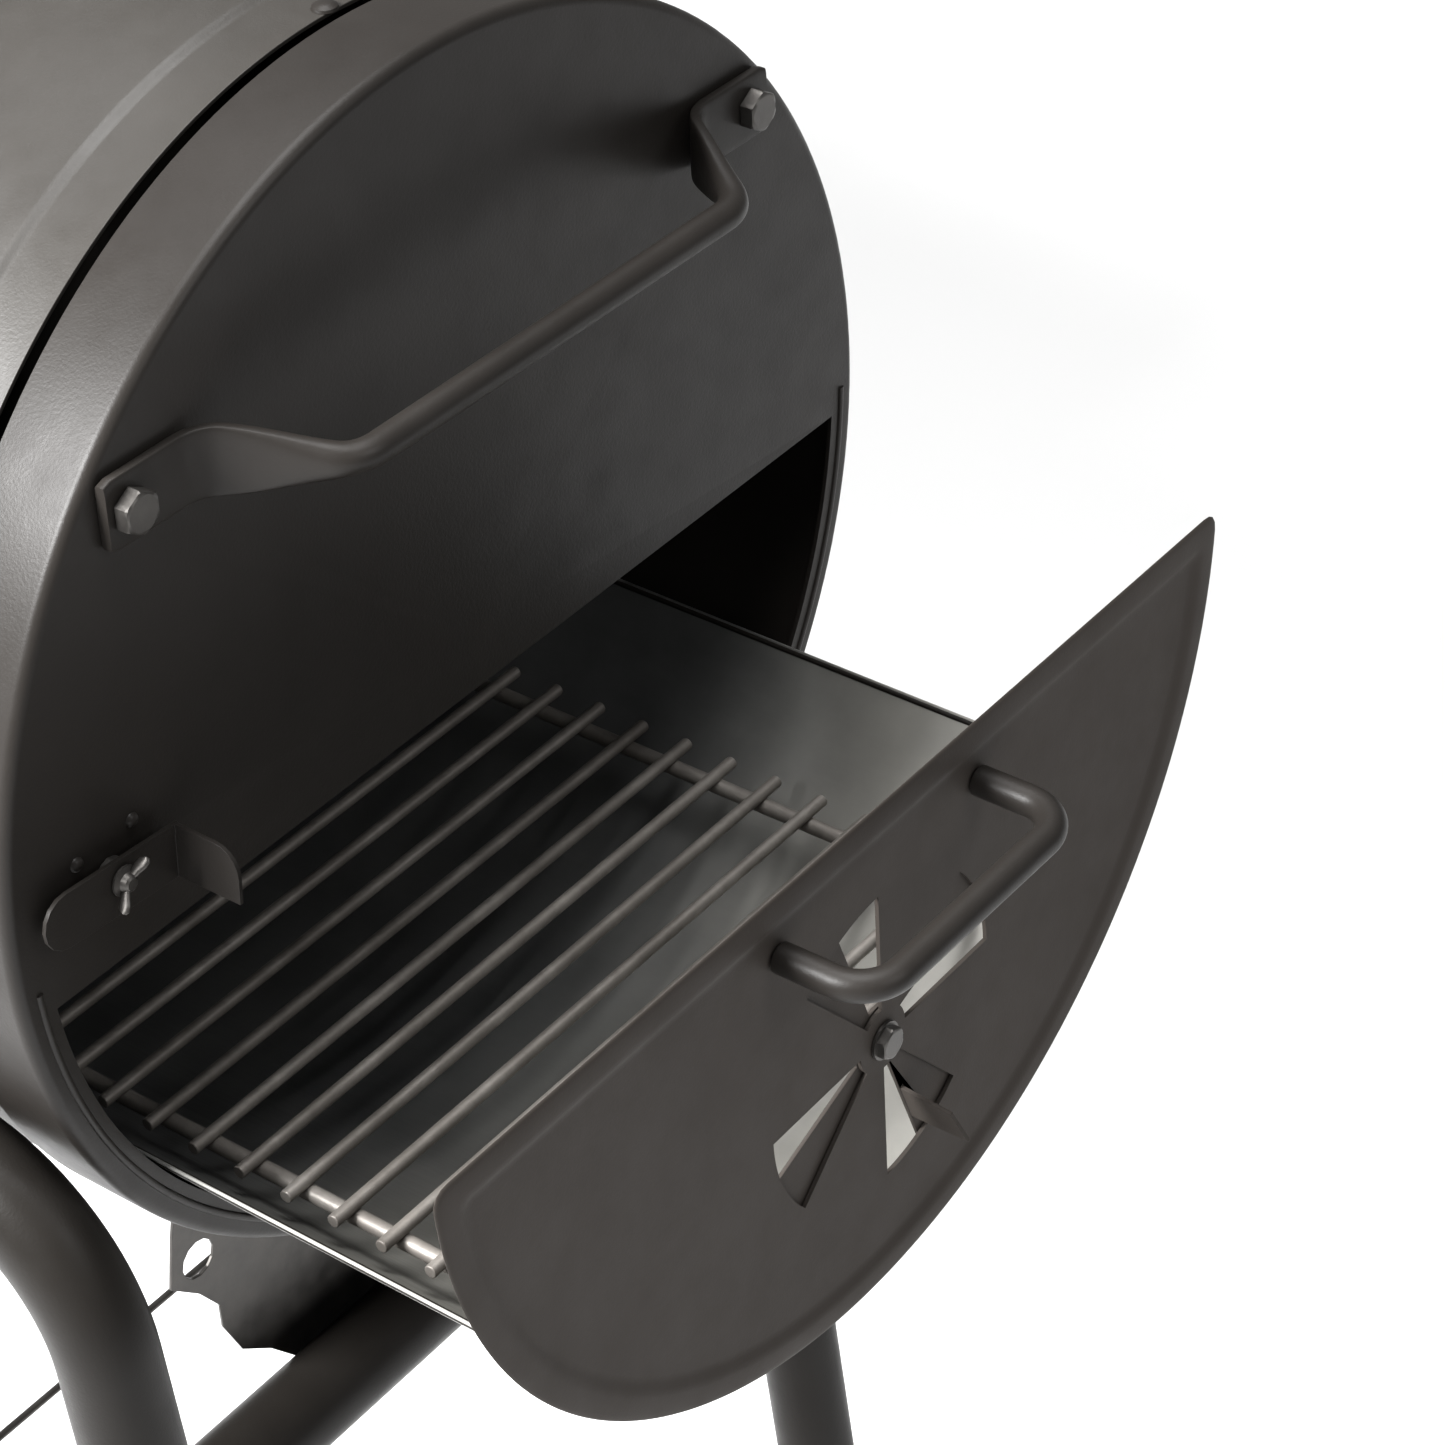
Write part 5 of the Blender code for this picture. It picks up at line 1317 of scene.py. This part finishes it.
wheel("front_wheel")
wheel("rear_wheel")
refined("axle", BRUSHED_RIM, "smoker", 0.6 * MM)
print("wheels at x", round(AXLE_X, 4))


# %% [markdown]
# ## Chimney
# The chimney is one bent pipe with a flange where it meets the chamber's end. A flat cover
# turns on a pin at its mouth to set the draught.

# %% Chimney
CHIMNEY_BEND = 60.0 * MM
SCREW_RING = 48.0 * MM


def chimney():
    low, high = corners("chimney_pipe")
    radius = (high.y - low.y) / 2
    up_x = low.x + radius
    points = [Vector((high.x, 0, CHIMNEY_Z)), Vector((up_x, 0, CHIMNEY_Z)), Vector((up_x, 0, high.z))]
    pipe = tube(bent_path(points, CHIMNEY_BEND, 24), Vector((0, 1, 0)), radius, 64)
    piece("chimney_bent_pipe", pipe, POWDER, "smoker", ("chimney_pipe",), 40.0, 0.3 * MM)
    low, high = corners("chimney_collar")
    outline = in_mm((-3.0, 56.0), (-3.0, 38.4), (0.0, 38.4), (0.0, 56.0))
    ring = turned(outline, Matrix.Translation((high.x, 0.0, CHIMNEY_Z)), 96)
    piece("chimney_collar_ring", ring, POWDER, "smoker", ("chimney_collar",), 40.0, 0.5 * MM)
    dome = in_mm((-0.1, 0.0), (-0.1, 4.2), (-1.4, 3.8), (-2.6, 2.2), (-3.0, 0.0))
    for k in range(4):
        a = math.radians(90.0 * k + 45.0)
        spot = (low.x, SCREW_RING * math.cos(a), CHIMNEY_Z + SCREW_RING * math.sin(a))
        head = turned(dome, Matrix.Translation(spot), 28)
        piece(f"collar_screw_{k + 1}", head, DARK_PLATE, "smoker", (), 45.0)
    refined("chimney_cap", POWDER, "chimney_cap", 0.4 * MM)
    refined("chimney_cap_pin", DARK_PLATE, "smoker", 0.4 * MM)


chimney()
print("chimney up to z", round(corners("chimney_pipe")[1].z, 3))


# %% [markdown]
# ## Thermometer
# A dial on the chamber's lid reads the heat inside. Its case is turned, the pale face
# carries a ring of plain marks grown by a loop, and a dark needle points to the middle.

# %% Thermometer
DIAL_RIM = 38.0 * MM
DIAL_FACE = 9.0 * MM
DIAL_MARKS = 25
DIAL_START, DIAL_SWEEP = -45.0, 270.0


def dial_case(place):
    rim, face = DIAL_RIM / MM, DIAL_FACE / MM
    outline = in_mm((-45.0, 0.0), (-45.0, 3.0), (0.0, 3.0), (0.0, 12.0), (4.0, 14.0), (4.2, rim - 3.0),
                    (6.0, rim - 0.6), (12.0, rim), (14.0, rim - 1.2), (14.0, rim - 3.2),
                    (12.4, rim - 4.0), (face, rim - 4.2), (face, 0.0))
    case = turned(outline, place, 96)
    piece("thermometer_case", case, BRUSHED_RIM, "chamber_lid", ("thermometer",), 32.0, 0.3 * MM)


def dial_face(place):
    low, high, edge = DIAL_FACE + 0.05 * MM, DIAL_FACE + 0.5 * MM, DIAL_RIM - 4.6 * MM
    disc = turned([(low, 0.0), (low, edge), (high, edge), (high, 0.0)], place, 96)
    piece("thermometer_face", disc, ENAMEL, "chamber_lid", (), 32.0)


def dial_marks(place):
    """Plain marks round the face, every fourth one longer and wider."""
    bm = bmesh.new()
    for k in range(DIAL_MARKS):
        a = math.radians(DIAL_START + DIAL_SWEEP * k / (DIAL_MARKS - 1))
        inner, half = (22.0 * MM, 0.9 * MM) if k % 4 == 0 else (26.0 * MM, 0.45 * MM)
        outer = 30.0 * MM
        out, across = Vector((0.0, math.cos(a), math.sin(a))), Vector((0.0, -math.sin(a), math.cos(a)))
        section = ((inner, -half), (outer, -half), (outer, half), (inner, half))
        loft([[place @ (Vector((x, 0, 0)) + out * r + across * w) for r, w in section]
              for x in (DIAL_FACE + 0.5 * MM, DIAL_FACE + 0.7 * MM)], bm)
    piece("thermometer_marks", bm, MARKING, "chamber_lid", (), 40.0)


def dial_needle(place):
    lean = place @ Matrix.Rotation(math.radians(62.0), 4, "X")
    shape = [(-6.0, -1.6), (24.0, -0.35), (25.0, 0.0), (24.0, 0.35), (-6.0, 1.6)]
    levels = (DIAL_FACE + 1.2 * MM, DIAL_FACE + 1.8 * MM)
    needle = loft([[lean @ Vector((x, u * MM, v * MM)) for u, v in shape] for x in levels])
    piece("thermometer_needle", needle, MARKING, "chamber_lid", (), 40.0, 0.1 * MM)


for part in (dial_case, dial_face, dial_marks, dial_needle):
    part(facing(DIAL_SEAT, DIAL_OUT))
print("thermometer set at", [round(v, 3) for v in DIAL_SEAT])
